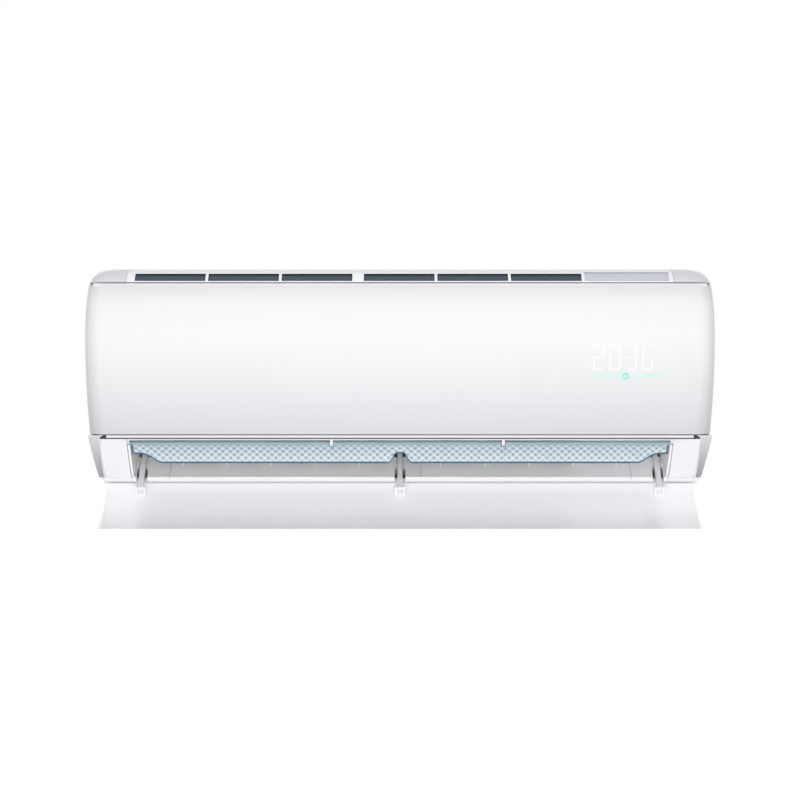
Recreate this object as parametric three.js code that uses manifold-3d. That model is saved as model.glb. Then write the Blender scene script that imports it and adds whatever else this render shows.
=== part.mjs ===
// Indoor unit of a wall-mounted split air conditioner, with its outlet flap open.
// Millimetres. X runs along the unit to the viewer's right, Y points into the wall, Z is up.
// The origin is on the wall, in the middle of the wall plate's back face.
import * as THREE from 'three';
import { mergeVertices } from 'three/addons/utils/BufferGeometryUtils.js';
import Module from 'manifold-3d';

const wasm = await Module();
wasm.setup();

// ---- overall sizes ----
const BODY_WIDTH = 863.4;
const BODY_HEIGHT = 302;
const BODY_DEPTH = 205;
const TOP_ABOVE_MOUNT = 149;
const BODY_OFF_WALL = 4;

// ---- walls and fits ----
const SHELL_WALL = 3;
const DUCT_WALL = 3;
const FIT_GAP = 0.3;
const SHUT_GAP = 0.8;
const PANEL_BEAD_RADIUS = 3.2;
const PANEL_CORNER = 24;
const TRIM_CORNER = 12;
const TOP_CORNER = 24;
const BOTTOM_CORNER = 11;
const LOWER_STEP = 3.9;
const LOWER_TAPER = 0.137;
const SEAM_REACH = 14;

// ---- outlet, flap and arms ----
const OUTLET_MARGIN = 60.2;
const OUTLET_SIDE_WALL = 3;
const FLAP_MARGIN = 21.2;
const FLAP_WALL = 3.5;
const FLAP_RECESS = 5;
const FLAP_OPEN_ANGLE = 77.4;
const ARM_TRAVEL = 21.26;
const ARM_MARGIN = 9.5;
const ARM_WIDTH = 7;
const ARM_LENGTH = 72;
const PINION_REACH = 50;
const ARM_HEIGHT = 10;
const ARM_TIP_HEIGHT = 6;
const SLOT_CLEARANCE = 4.1;
const HINGE_PIN_RADIUS = 1.6;
const HINGE_KNUCKLE_RADIUS = 3.4;
const RACK_MODULE = 1.25;
const PINION_TEETH = 10;
const DRIVE_SHAFT_RADIUS = 3;
const TRIM_WALL = 2.2;
const TRIM_GAP = 1.5;

// ---- inner vane ----
const VANE_LENGTH = 34;
const VANE_TILT = 36;
const VANE_WALL = 1.6;
const VANE_END_GAP = 2;
const VANE_PIN_RADIUS = 2;
const VANE_HANGERS = [-94, 142];

// ---- fan and motor ----
const FAN_RADIUS = 46;
const FAN_END_MARGIN = 125.5;
const FAN_LEFT_MARGIN = 19.5;
const END_WALL = 3;
const FAN_BLADES = 16;
const FAN_RINGS = 4;
const FAN_SHAFT_RADIUS = 4;
const FAN_TIP_GAP = 4;
const MOTOR_RADIUS = 40;
const MOTOR_LENGTH = 68;

// ---- coil, pan and filters ----
const COIL_THICKNESS = 26;
const COIL_WEB = 5;
const FIN_PITCH = 16;
const FIN_WALL = 3.5;
const COIL_LEFT_MARGIN = 23.5;
const COIL_RIGHT_MARGIN = 22;
const TUBE_PLATE = 1.5;
const TUBE_RADIUS = 3.5;
const TUBE_PITCH = 21;
const FILTER_WALL = 1.2;
const FILTER_INSET = 9.4;
const BAY_MARGIN = 5.5;
const WINDOW_RIB = 3.8;
const CENTRE_RIB = 15.8;

// ---- louvers ----
const LOUVERS_PER_GROUP = 5;
const LOUVER_PITCH = 62;
const LOUVER_HEIGHT = 26;
const LOUVER_FRONT = 20;
const LOUVER_BACK = 14;
const LOUVER_WALL = 1.6;
const LOUVER_PEG_ARM = 10;
const LOUVER_PEG_RADIUS = 1.4;

// ---- pipes ----
const GAS_PIPE_RADIUS = 4.76;
const LIQUID_PIPE_RADIUS = 3.18;
const PIPE_BEND = 14;
const DRAIN_RADIUS = 6;

// ---- places derived from the sizes above ----
const HALF_WIDTH = BODY_WIDTH / 2;
const LOWER_HALF_WIDTH = HALF_WIDTH - LOWER_STEP;
const OUTLET_HALF_WIDTH = HALF_WIDTH - OUTLET_MARGIN;
const OUTLET_OUTSIDE = OUTLET_HALF_WIDTH + OUTLET_SIDE_WALL;
const FLAP_HALF_LENGTH = HALF_WIDTH - FLAP_MARGIN;
const TRIM_INNER_EDGE = FLAP_HALF_LENGTH + TRIM_GAP;
const STRIP_HALF_LENGTH = FLAP_HALF_LENGTH - 9.5;
const ARM_OFFSET = OUTLET_HALF_WIDTH - ARM_MARGIN;
const FAN_END = OUTLET_HALF_WIDTH - FAN_END_MARGIN;
const FAN_LEFT = FAN_LEFT_MARGIN - OUTLET_HALF_WIDTH;
const FAN_RIGHT = FAN_END - 8;
const MOTOR_FACE = FAN_END + END_WALL + 5;
const COIL_LEFT = COIL_LEFT_MARGIN - OUTLET_HALF_WIDTH;
const COIL_RIGHT = FAN_END - COIL_RIGHT_MARGIN;
const BAY_LEFT_END = BAY_MARGIN - OUTLET_HALF_WIDTH;
const BAY_RIGHT_END = FAN_END + END_WALL;
const BAY_SPLIT = (BAY_LEFT_END + BAY_RIGHT_END) / 2 + 1;
const FRONT = -BODY_DEPTH;
const TOP = TOP_ABOVE_MOUNT;
const BOTTOM = TOP - BODY_HEIGHT;
const BACK = -BODY_OFF_WALL;
const BULGE_Z = TOP - 93;
const PANEL_FOOT = BOTTOM + 73.5;
const PANEL_AXIS = [FRONT + 20.8, TOP - 24.4];
const SEAM_Z = PANEL_AXIS[1] + PANEL_BEAD_RADIUS + SHUT_GAP;
const PANEL_REAR = FRONT + 37;
const FLAP_FRONT_EDGE = [FRONT + 15, BOTTOM + 65];
const FLAP_REAR_EDGE = [FRONT + 92.5, BOTTOM];
const RIM_FRONT = FRONT + 81;
const RIM_BOTTOM = BOTTOM + 6.4;
const RIM_TOP = BOTTOM + 11.5;
const FLAP_HINGE_SHUT = [FRONT + 84, BOTTOM + 11.5];
const ARM_SLOPE = THREE.MathUtils.degToRad(41.2);
const ARM_OUT = [-Math.cos(ARM_SLOPE), -Math.sin(ARM_SLOPE)];
const ARM_DOWN = [Math.sin(ARM_SLOPE), -Math.cos(ARM_SLOPE)];
const FLAP_HINGE = along(FLAP_HINGE_SHUT, ARM_OUT, ARM_TRAVEL);
const FAN_CENTRE = [FRONT + 109, BOTTOM + 123];
const PAN_TIP = [FRONT + 62, BOTTOM + 91];
const UPPER_LIP = [FRONT + 22, BOTTOM + 67.4];
const VANE_AXIS = [FRONT + 30, BOTTOM + 61];
const RIM_REAR = [RIM_FRONT + 1, RIM_TOP];
const CHANNEL_DEPTH = 40;
const CHANNEL_TOP = BOTTOM + 58;
const HOOK_TOP = 104;

const WHITE = { color: 0xf4f5f7, roughness: 0.25, metalness: 0 };
const SOFT_WHITE = { color: 0xe9ebee, roughness: 0.5, metalness: 0 };
const SILVER = { color: 0xb9babc, roughness: 0.25, metalness: 1 };
const STEEL = { color: 0xa9adb0, roughness: 0.4, metalness: 1 };
const COPPER = { color: 0xb87333, roughness: 0.35, metalness: 1 };
const ALUMINIUM = { color: 0xc9cdd1, roughness: 0.45, metalness: 1 };
const BLUE_CLEAR = { color: 0x9cc4d8, roughness: 0.15, metalness: 0 };
const DARK_PLASTIC = { color: 0x2c3036, roughness: 0.6, metalness: 0 };
const FILTER_BLUE = { color: 0x3c4a5c, roughness: 0.8, metalness: 0 };
const FAN_GREY = { color: 0x51565c, roughness: 0.55, metalness: 0 };
const BOARD_GREEN = { color: 0x1f6b45, roughness: 0.5, metalness: 0 };
const BRASS = { color: 0xc9a24a, roughness: 0.3, metalness: 1 };

const unit = new THREE.Group();

// ---- drawing helpers: a section is a list of [y, z] points ----

function along(point, direction, distance) {
  return [point[0] + direction[0] * distance, point[1] + direction[1] * distance];
}

function turned(point, centre, degrees) {
  const a = THREE.MathUtils.degToRad(degrees);
  const y = point[0] - centre[0];
  const z = point[1] - centre[1];
  return [centre[0] + y * Math.cos(a) - z * Math.sin(a), centre[1] + y * Math.sin(a) + z * Math.cos(a)];
}

function solidOf(geometry) {
  const bare = geometry.clone();
  bare.deleteAttribute('normal');
  bare.deleteAttribute('uv');
  const merged = mergeVertices(bare, 1e-4);
  const mesh = new wasm.Mesh({
    numProp: 3,
    vertProperties: new Float32Array(merged.attributes.position.array),
    triVerts: new Uint32Array(merged.index.array),
  });
  return new wasm.Manifold(mesh);
}

function add(name, solid, look) {
  const { vertProperties, triVerts } = solid.getMesh();
  const geometry = new THREE.BufferGeometry();
  geometry.setAttribute('position', new THREE.BufferAttribute(new Float32Array(vertProperties), 3));
  geometry.setIndex(new THREE.BufferAttribute(new Uint32Array(triVerts), 1));
  geometry.computeVertexNormals();
  const mesh = new THREE.Mesh(geometry, new THREE.MeshStandardMaterial(look));
  mesh.name = name;
  unit.add(mesh);
}

function rectangle(y0, y1, z0, z1) {
  return [[y0, z0], [y1, z0], [y1, z1], [y0, z1]];
}

function join(...solids) {
  return solids.reduce((sum, piece) => sum.add(piece));
}

function shapeOf(points) {
  const shape = new THREE.Shape(points.map(([a, b]) => new THREE.Vector2(a, b)));
  return shape;
}

// A [y, z] section drawn out along X.
function alongX(section, x0, x1) {
  const geometry = new THREE.ExtrudeGeometry(shapeOf(section), { depth: x1 - x0, bevelEnabled: false });
  geometry.applyMatrix4(new THREE.Matrix4().set(0, 0, 1, x0, 1, 0, 0, 0, 0, 1, 0, 0, 0, 0, 0, 1));
  return solidOf(geometry);
}

// A [x, z] outline drawn out along Y.
function alongY(outline, y0, y1) {
  const geometry = new THREE.ExtrudeGeometry(shapeOf(outline), { depth: y1 - y0, bevelEnabled: false });
  geometry.applyMatrix4(new THREE.Matrix4().set(1, 0, 0, 0, 0, 0, -1, y1, 0, 1, 0, 0, 0, 0, 0, 1));
  return solidOf(geometry);
}

function box(x0, x1, y0, y1, z0, z1) {
  const geometry = new THREE.BoxGeometry(x1 - x0, y1 - y0, z1 - z0);
  geometry.translate((x0 + x1) / 2, (y0 + y1) / 2, (z0 + z1) / 2);
  return solidOf(geometry);
}

function rodX(x0, x1, [y, z], radius, sides = 16) {
  const geometry = new THREE.CylinderGeometry(radius, radius, x1 - x0, sides);
  geometry.rotateZ(Math.PI / 2);
  geometry.translate((x0 + x1) / 2, y, z);
  return solidOf(geometry);
}

// A wall of even thickness along an open path in the [y, z] plane.
function wallAlong(path, thickness) {
  return [...offsetPath(path, thickness / 2), ...offsetPath(path, -thickness / 2).reverse()];
}

// The path moved sideways; a positive distance moves it to the left of its direction.
function offsetPath(path, distance) {
  const moved = [];
  for (let i = 0; i < path.length; i += 1) {
    const before = path[Math.max(i - 1, 0)];
    const here = path[i];
    const after = path[Math.min(i + 1, path.length - 1)];
    const into = unitVector(i > 0 ? before : here, i > 0 ? here : after);
    const out = unitVector(i < path.length - 1 ? here : before, i < path.length - 1 ? after : here);
    const normal = [-(into[1] + out[1]) / 2, (into[0] + out[0]) / 2];
    const stretch = distance / (normal[0] ** 2 + normal[1] ** 2);
    moved.push(along(here, normal, stretch));
  }
  return moved;
}

function unitVector(from, to) {
  const length = Math.hypot(to[0] - from[0], to[1] - from[1]);
  return [(to[0] - from[0]) / length, (to[1] - from[1]) / length];
}

function quadratic(a, b, c, steps) {
  const points = [];
  for (let i = 0; i <= steps; i += 1) {
    const t = i / steps;
    const mix = (k) => (1 - t) ** 2 * a[k] + 2 * t * (1 - t) * b[k] + t * t * c[k];
    points.push([mix(0), mix(1)]);
  }
  return points;
}

function cubic(a, b, c, d, steps) {
  const points = [];
  for (let i = 0; i <= steps; i += 1) {
    const t = i / steps;
    const s = 1 - t;
    const mix = (k) => s ** 3 * a[k] + 3 * s * s * t * b[k] + 3 * s * t * t * c[k] + t ** 3 * d[k];
    points.push([mix(0), mix(1)]);
  }
  return points;
}

// ---- the closed body that every cover is cut from ----

// The shut flap's outer face, from its rear edge under the unit to its front edge.
function flapFace() {
  const rear = along(FLAP_REAR_EDGE, [-1, 0], 32);
  const front = along(FLAP_FRONT_EDGE, [0.574, -0.819], 35);
  return cubic(FLAP_REAR_EDGE, rear, front, FLAP_FRONT_EDGE, 9);
}

// How far the front panel lies behind the foremost plane at a height.
function panelSetback(z) {
  if (z < BULGE_Z) return 10.5 * ((BULGE_Z - z) / (BULGE_Z - PANEL_FOOT)) ** 2;
  return 17.6 * ((z - BULGE_Z) / (PANEL_AXIS[1] - BULGE_Z)) ** 2.6;
}

// The covers above the outlet: the front panel's bulge, then the slope up to the flat top.
function upperProfile() {
  const panel = [];
  const rows = 9;
  const start = PANEL_FOOT - SEAM_REACH;
  for (let i = 0; i <= rows; i += 1) {
    const z = start + (PANEL_AXIS[1] - start) * Math.sin((i / rows) * Math.PI / 2);
    panel.push([FRONT + panelSetback(z), z]);
  }
  const shoulder = [FRONT + 17.9, SEAM_Z];
  const slope = quadratic(shoulder, [FRONT + 32, TOP], [FRONT + 55, TOP], 5);
  return [...panel, ...slope];
}

// The covers beside the outlet, which the shut flap lies flush with.
function lowerProfile() {
  const face = flapFace();
  const end = face.at(-1);
  return [...face, along(end, unitVector(face.at(-2), end), SEAM_REACH)];
}

function upperHalfWidth(z, inset) {
  const base = z < BULGE_Z
    ? HALF_WIDTH - 5.2 * ((BULGE_Z - z) / (BULGE_Z - PANEL_FOOT)) ** 2
    : HALF_WIDTH - 2.4 * ((z - BULGE_Z) / (PANEL_AXIS[1] - BULGE_Z)) ** 2;
  return base - inset - cornerDrop(TOP_CORNER - inset, TOP - inset - z);
}

function lowerHalfWidth(z, inset) {
  const taper = LOWER_TAPER * Math.max(FLAP_FRONT_EDGE[1] + 3 - z, 0);
  return LOWER_HALF_WIDTH - taper - inset - cornerDrop(BOTTOM_CORNER - inset, z - BOTTOM - inset);
}

function cornerDrop(radius, depth) {
  const r = Math.max(radius, 2);
  if (depth >= r) return 0;
  return r - Math.sqrt(Math.max(r * r - (r - depth) ** 2, 0));
}

// A closed body drawn in by an inset all round, as plan sections stacked up its profile.
function body(profile, halfWidthAt, cornerRadius, inset) {
  const arc = 4;
  const rows = offsetPath(profile, -inset);
  const rings = rows.map(([front, z]) => {
    const half = halfWidthAt(z, inset);
    const radius = Math.max(cornerRadius - inset, 2);
    const ring = [];
    for (let i = 0; i <= arc; i += 1) {
      const a = (i / arc) * Math.PI / 2;
      ring.push([half - radius + radius * Math.sin(a), front + radius - radius * Math.cos(a), z]);
    }
    ring.push([half, BACK - inset, z]);
    const left = ring.map(([x, y]) => [-x, y, z]).reverse();
    return [...ring, ...left];
  });
  return stack(rings);
}

const bodies = new Map();

function upperBody(inset) {
  const key = `upper ${inset}`;
  if (!bodies.has(key)) bodies.set(key, body(upperProfile(), upperHalfWidth, PANEL_CORNER, inset));
  return bodies.get(key);
}

function lowerBody(inset) {
  const key = `lower ${inset}`;
  if (!bodies.has(key)) bodies.set(key, body(lowerProfile(), lowerHalfWidth, TRIM_CORNER, inset));
  return bodies.get(key);
}

// A closed solid through rings of equal count, lowest first, each running anticlockwise from above.
function stack(rings) {
  const count = rings[0].length;
  const index = [];
  for (let r = 0; r + 1 < rings.length; r += 1) {
    for (let i = 0; i < count; i += 1) {
      const a = r * count + i;
      const b = r * count + (i + 1) % count;
      index.push(a, b, b + count, a, b + count, a + count);
    }
  }
  const last = (rings.length - 1) * count;
  for (let i = 1; i + 1 < count; i += 1) {
    index.push(0, i + 1, i, last, last + i, last + i + 1);
  }
  const geometry = new THREE.BufferGeometry();
  geometry.setAttribute('position', new THREE.Float32BufferAttribute(rings.flat(2), 3));
  geometry.setIndex(index);
  return solidOf(geometry);
}

// The part of a body's skin between two insets.
function upperSkin(outer, inner) {
  return upperBody(outer).subtract(upperBody(inner));
}

function lowerSkin(outer, inner) {
  return lowerBody(outer).subtract(lowerBody(inner));
}

const FAR = 600;

// ---- wall plate ----

function makeWallPlate() {
  const sheet = 1.5;
  let plate = box(-270, 270, -sheet, 0, -70, 92);
  const rows = [-45, 70];
  for (const z of rows) {
    for (let i = -3; i <= 3; i += 1) {
      plate = plate.subtract(box(i * 70 - 9, i * 70 + 9, -9, 9, z - 3, z + 3));
    }
  }
  plate = plate.subtract(box(-225, -70, -9, 9, -15, 35)).subtract(box(70, 225, -9, 9, -15, 35));
  const hookFoot = 92;
  for (const x of [-200, 0, 200]) {
    plate = plate.add(box(x - 20, x + 20, -6.5, 0, hookFoot - 0.5, hookFoot + 1));
    plate = plate.add(box(x - 20, x + 20, -6.5, -5, hookFoot - 0.5, HOOK_TOP));
  }
  add('wall_plate', plate, STEEL);
}

// ---- chassis ----

// The spiral wall behind the fan: the gap to the fan grows steadily as it winds down to the duct.
function scrollPath() {
  const points = [];
  const steps = 9;
  for (let i = 0; i <= steps; i += 1) {
    const angle = THREE.MathUtils.degToRad(40 + 112 * (i / steps));
    const radius = FAN_RADIUS + FAN_TIP_GAP + 16 * (i / steps) + DUCT_WALL / 2;
    points.push([FAN_CENTRE[0] + radius * Math.sin(angle), FAN_CENTRE[1] + radius * Math.cos(angle)]);
  }
  return points;
}

const DUCT_START = scrollPath().at(-1);
const DUCT_RUN = unitVector(DUCT_START, RIM_REAR);
const DUCT_UP = [DUCT_RUN[1], -DUCT_RUN[0]];

// The nearest point to this one on the middle line of the duct's lower wall.
function onDuctWallLine(point) {
  const height = (point[0] - DUCT_START[0]) * DUCT_UP[0] + (point[1] - DUCT_START[1]) * DUCT_UP[1];
  return along(point, DUCT_UP, -height);
}

function slotCutter(x) {
  const half = ARM_WIDTH / 2 + SLOT_CLEARANCE;
  const start = along(FLAP_HINGE, ARM_OUT, -(ARM_LENGTH + ARM_TRAVEL + 1));
  const front = RIM_FRONT - 5;
  const lowered = ARM_HEIGHT / 2 + RACK_MODULE + 0.6;
  const section = [
    along(start, ARM_DOWN, lowered),
    along(start, ARM_DOWN, -60),
    [front, start[1]],
    [front, RIM_BOTTOM - 1],
    [RIM_FRONT + 10, RIM_BOTTOM - 1],
    along(along(FLAP_HINGE, ARM_OUT, -26), ARM_DOWN, lowered),
  ];
  return alongX(ordered(section), x - half, x + half);
}

// The two cheeks under the duct wall that guide an arm and carry the drive shaft.
function armGuides(x) {
  const at = (reach, down) => along(along(FLAP_HINGE, ARM_OUT, -reach), ARM_DOWN, down);
  const section = ordered([onDuctWallLine(at(41, 0)), onDuctWallLine(at(62, 0)), at(60, 18), at(43, 18)]);
  const near = ARM_WIDTH / 2 + 0.5;
  const far = ARM_WIDTH / 2 + SLOT_CLEARANCE + 2;
  return alongX(section, x - far, x - near).add(alongX(section, x + near, x + far));
}

function pinionCentre() {
  const pitchRadius = RACK_MODULE * PINION_TEETH / 2;
  return along(along(FLAP_HINGE, ARM_OUT, -PINION_REACH), ARM_DOWN, ARM_HEIGHT / 2 + pitchRadius);
}

function makeChassis() {
  const inner = OUTLET_HALF_WIDTH;
  const outer = OUTLET_OUTSIDE;
  const w = SHELL_WALL / 2;
  const back = [
    [BACK - w, SEAM_Z - FIT_GAP],
    [BACK - w, CHANNEL_TOP + w],
    [-CHANNEL_DEPTH - w, CHANNEL_TOP + w],
    [-CHANNEL_DEPTH - w, BOTTOM + w],
    [FLAP_REAR_EDGE[0] + SHUT_GAP, BOTTOM + w],
  ];
  const scroll = scrollPath();
  const troughLip = [scroll[0][0] + 2, FAN_CENTRE[1] + 72];
  const duct = [troughLip, ...scroll, RIM_REAR];
  const rim = [
    [RIM_FRONT, RIM_BOTTOM],
    [RIM_FRONT, RIM_TOP],
    [RIM_FRONT + 6, RIM_TOP + 3],
    [FLAP_REAR_EDGE[0] + SHUT_GAP + 4, BOTTOM + 9],
    [FLAP_REAR_EDGE[0] + SHUT_GAP + 4, BOTTOM + 0.5],
    [FLAP_REAR_EDGE[0] + SHUT_GAP, BOTTOM + 0.5],
    [FLAP_REAR_EDGE[0] + SHUT_GAP, RIM_BOTTOM],
  ];
  const trough = [
    [troughLip[0], FAN_CENTRE[1] + 60],
    [BACK - w, FAN_CENTRE[1] + 60],
  ];
  const fanEnd = FAN_END + END_WALL;
  const low = wallAlong([DUCT_START, RIM_REAR], DUCT_WALL);
  let chassis = join(
    alongX(ordered(wallAlong(back, SHELL_WALL)), -outer, outer),
    alongX(ordered(wallAlong(duct, DUCT_WALL)), -outer, fanEnd),
    alongX(ordered(low), fanEnd - 1, outer),
    alongX(ordered(rim), -outer, outer),
    alongX(ordered(wallAlong(trough, DUCT_WALL)), -outer, fanEnd),
  );
  const endPlate = upperBody(8.8).add(lowerBody(8.8))
    .subtract(box(-FAR, FAR, -CHANNEL_DEPTH, FAR, -FAR, CHANNEL_TOP))
    .subtract(box(-FAR, FAR, -FAR, FRONT + 20, -FAR, PANEL_FOOT + 12))
    .subtract(box(-FAR, FAR, -FAR, UPPER_LIP[0] + 2, -FAR, UPPER_LIP[1] + 2));
  const leftWall = endPlate.intersect(box(-outer, -inner, -FAR, FAR, -FAR, FAR));
  const rightWall = endPlate.intersect(box(inner, outer, -FAR, FAR, -FAR, FAR));
  chassis = join(chassis, leftWall, rightWall, fanEndWall(), ductEndRamp());
  const arms = [-ARM_OFFSET, 0, ARM_OFFSET];
  for (const x of arms) chassis = chassis.subtract(slotCutter(x)).add(armGuides(x));
  const bores = [
    rodX(-outer - 1, -inner + 1, FAN_CENTRE, 12 + FIT_GAP, 20),
    rodX(-inner - 1, inner + 1, pinionCentre(), DRIVE_SHAFT_RADIUS + 0.5, 12),
    ...arms.map((x) => rodX(x - ARM_WIDTH / 2 - 0.5, x + ARM_WIDTH / 2 + 0.5, pinionCentre(), 8.6, 12)),
    ...louverPlaces().map(([x]) => louverPivot(x, 2.4 + FIT_GAP, 8)),
    ...[-200, 0, 200].map((x) => box(x - 22, x + 22, -7.2, 0, 89, HOOK_TOP + FIT_GAP)),
    vanePinHole(-1),
    vanePinHole(1),
    rodX(-outer - 1, outer + 1, drainPlace(), DRAIN_RADIUS + FIT_GAP, 12),
    ...pipeRuns().map(({ radius, coilEnd }) => rodX(FAN_END - 1, outer + 1, coilEnd, radius + FIT_GAP, 12)),
  ];
  for (const bore of bores) chassis = chassis.subtract(bore);
  add('chassis', chassis, SOFT_WHITE);
}

// The wall that closes the scroll at the fan's motor end, with a hole for the shaft.
function fanEndWall() {
  const outline = [
    [BACK - 1, SEAM_Z - 3],
    [BACK - 1, CHANNEL_TOP + 1],
    [-CHANNEL_DEPTH - 2, CHANNEL_TOP + 1],
    along(DUCT_START, DUCT_UP, -0.5),
    [PAN_TIP[0] + 3, PAN_TIP[1] + 2],
    [PAN_TIP[0] + 3, PAN_TIP[1] + 14],
    [FRONT + 24, PAN_TIP[1] + 14],
    [FRONT + 24, TOP - 26],
    [FRONT + 58, TOP - 12],
    [BACK - 18, TOP - 12],
  ];
  const wall = alongX(outline.reverse(), FAN_END, FAN_END + END_WALL);
  return wall.subtract(rodX(FAN_END - 1, FAN_END + END_WALL + 1, FAN_CENTRE, 14, 20));
}

// The sloping ceiling that closes the duct beyond the fan's motor end.
function ductEndRamp() {
  const path = [
    [PAN_TIP[0] + 1.5, PAN_TIP[1] + 2],
    [PAN_TIP[0] + 30, PAN_TIP[1] - 14],
    along(DUCT_START, DUCT_UP, 0.4),
  ];
  return alongX(wallAlong(path, DUCT_WALL).reverse(), FAN_END + 1, OUTLET_HALF_WIDTH + 1);
}

// ---- drain pan and upper duct wall ----

function makeDrainPan() {
  const front = FRONT + 17.6;
  const section = [
    [front, BOTTOM + 105],
    [front, UPPER_LIP[1] + 1],
    [UPPER_LIP[0], UPPER_LIP[1]],
    PAN_TIP,
    [PAN_TIP[0] + 1.5, PAN_TIP[1] + 6],
    [PAN_TIP[0] - 8, PAN_TIP[1] + 9],
    [PAN_TIP[0] - 11, PAN_TIP[1] - 1],
    [FRONT + 24, PAN_TIP[1] - 8],
    [FRONT + 21, BOTTOM + 105],
  ];
  const end = OUTLET_HALF_WIDTH - FIT_GAP;
  let pan = alongX(section, -end, end);
  const hanger = [
    [VANE_AXIS[0] + 4, UPPER_LIP[1] + 12],
    [VANE_AXIS[0] - 4, UPPER_LIP[1] + 8],
    [VANE_AXIS[0] - 4, VANE_AXIS[1] - 3],
    [VANE_AXIS[0] + 4, VANE_AXIS[1] - 3],
  ];
  for (const x of VANE_HANGERS) {
    pan = pan.add(alongX(hanger, x - 2, x + 2));
    pan = pan.subtract(rodX(x - 3, x + 3, VANE_AXIS, VANE_PIN_RADIUS + FIT_GAP, 12));
  }
  const cap = [section[0], section[1], UPPER_LIP, PAN_TIP, section[4], section[5]];
  pan = pan.add(alongX(cap, -end, 2.5 - end)).add(alongX(cap, end - 2.5, end));
  const wallEnd = FAN_END + END_WALL + FIT_GAP;
  const foot = box(FAN_END - FIT_GAP, wallEnd, PAN_TIP[0] - 50, FAR, PAN_TIP[1] + 5, FAR);
  pan = pan.subtract(rodX(-FAR, FAR, drainPlace(), DRAIN_RADIUS - 2, 12));
  add('drain_pan', pan.subtract(foot), SOFT_WHITE);
}

// Where the pan's two outlets lie, just above the bottom of its trough.
function drainPlace() {
  return [FRONT + 33, BOTTOM + 93];
}

// The open outlet at the pipe end of the pan, and the plug that closes the other one.
function makeDrain() {
  const start = OUTLET_HALF_WIDTH;
  const stem = rodX(start, OUTLET_OUTSIDE + 16, drainPlace(), DRAIN_RADIUS, 12);
  const flange = rodX(OUTLET_OUTSIDE + FIT_GAP, OUTLET_OUTSIDE + 2.5, drainPlace(), DRAIN_RADIUS + 3, 12);
  const bore = rodX(-FAR, FAR, drainPlace(), DRAIN_RADIUS - 2, 12);
  add('drain_spigot', stem.add(flange).subtract(bore), DARK_PLASTIC);
  const plug = rodX(-OUTLET_OUTSIDE - 6, -start, drainPlace(), DRAIN_RADIUS, 12)
    .add(rodX(-OUTLET_OUTSIDE - 2.5, -OUTLET_OUTSIDE - FIT_GAP, drainPlace(), DRAIN_RADIUS + 3, 12));
  add('drain_plug', plug, DARK_PLASTIC);
}

// ---- cross-flow fan ----

function makeFan() {
  const [cy, cz] = FAN_CENTRE;
  const ring = 3;
  const rootRadius = FAN_RADIUS - 11;
  let fan = null;
  for (let i = 0; i < FAN_BLADES; i += 1) {
    const turn = (i / FAN_BLADES) * 360;
    const outer = [cy, cz + FAN_RADIUS];
    const inner = turned([cy, cz + rootRadius], [cy, cz], 14);
    const belly = turned([cy, cz + FAN_RADIUS - 5], [cy, cz], 2);
    const camber = quadratic(outer, belly, inner, 2);
    const section = wallAlong(camber, 1.3).reverse().map((p) => turned(p, [cy, cz], turn));
    const blade = alongX(section, FAN_LEFT + 1, FAN_RIGHT - 1);
    fan = fan ? fan.add(blade) : blade;
  }
  const pitch = (FAN_RIGHT - FAN_LEFT - ring) / (FAN_RINGS - 1);
  for (let i = 0; i < FAN_RINGS; i += 1) {
    const x = FAN_LEFT + i * pitch;
    const disc = rodX(x, x + ring, FAN_CENTRE, FAN_RADIUS + 0.4, 24);
    const isEnd = i === 0 || i === FAN_RINGS - 1;
    const opening = rodX(x - 1, x + ring + 1, FAN_CENTRE, rootRadius - 4, 24);
    fan = fan.add(isEnd ? disc : disc.subtract(opening));
  }
  const hub = rodX(FAN_RIGHT - 20, FAN_RIGHT, FAN_CENTRE, 12, 16);
  const bore = rodX(FAN_RIGHT - 18, FAN_RIGHT + 1, FAN_CENTRE, FAN_SHAFT_RADIUS + FIT_GAP, 12);
  const stub = rodX(-OUTLET_HALF_WIDTH - 2, FAN_LEFT + 1, FAN_CENTRE, FAN_SHAFT_RADIUS, 12);
  add('cross_flow_fan', fan.add(hub).subtract(bore).add(stub), FAN_GREY);
  add('motor_shaft', rodX(FAN_RIGHT - 17, MOTOR_FACE + 8, FAN_CENTRE, FAN_SHAFT_RADIUS, 12), STEEL);
}

function makeMotor() {
  const x0 = MOTOR_FACE;
  const x1 = x0 + MOTOR_LENGTH;
  const profile = [
    [0, 0], [14, 0], [14, 6], [MOTOR_RADIUS - 3, 6], [MOTOR_RADIUS, 9],
    [MOTOR_RADIUS, MOTOR_LENGTH - 9], [MOTOR_RADIUS - 6, MOTOR_LENGTH - 3], [0, MOTOR_LENGTH - 3],
  ];
  const lathe = new THREE.LatheGeometry(profile.map(([r, h]) => new THREE.Vector2(r, h)), 20);
  lathe.rotateZ(-Math.PI / 2);
  lathe.translate(x0, FAN_CENTRE[0], FAN_CENTRE[1]);
  let motor = solidOf(lathe).subtract(rodX(x0 - 1, x0 + 10, FAN_CENTRE, FAN_SHAFT_RADIUS + FIT_GAP, 12));
  const ridge = [FAN_CENTRE[0], FAN_CENTRE[1] + MOTOR_RADIUS - 1];
  for (let i = 0; i < 8; i += 1) {
    motor = motor.add(rodX(x0 + 14, x1 - 16, turned(ridge, FAN_CENTRE, i * 45 + 22.5), 2.4, 6));
  }
  add('fan_motor', motor, DARK_PLASTIC);
  const bearing = rodX(-OUTLET_OUTSIDE, 5 - OUTLET_HALF_WIDTH, FAN_CENTRE, 12, 20)
    .subtract(rodX(-FAR, FAR, FAN_CENTRE, FAN_SHAFT_RADIUS + FIT_GAP, 12));
  add('fan_bearing', bearing, DARK_PLASTIC);
}

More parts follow.
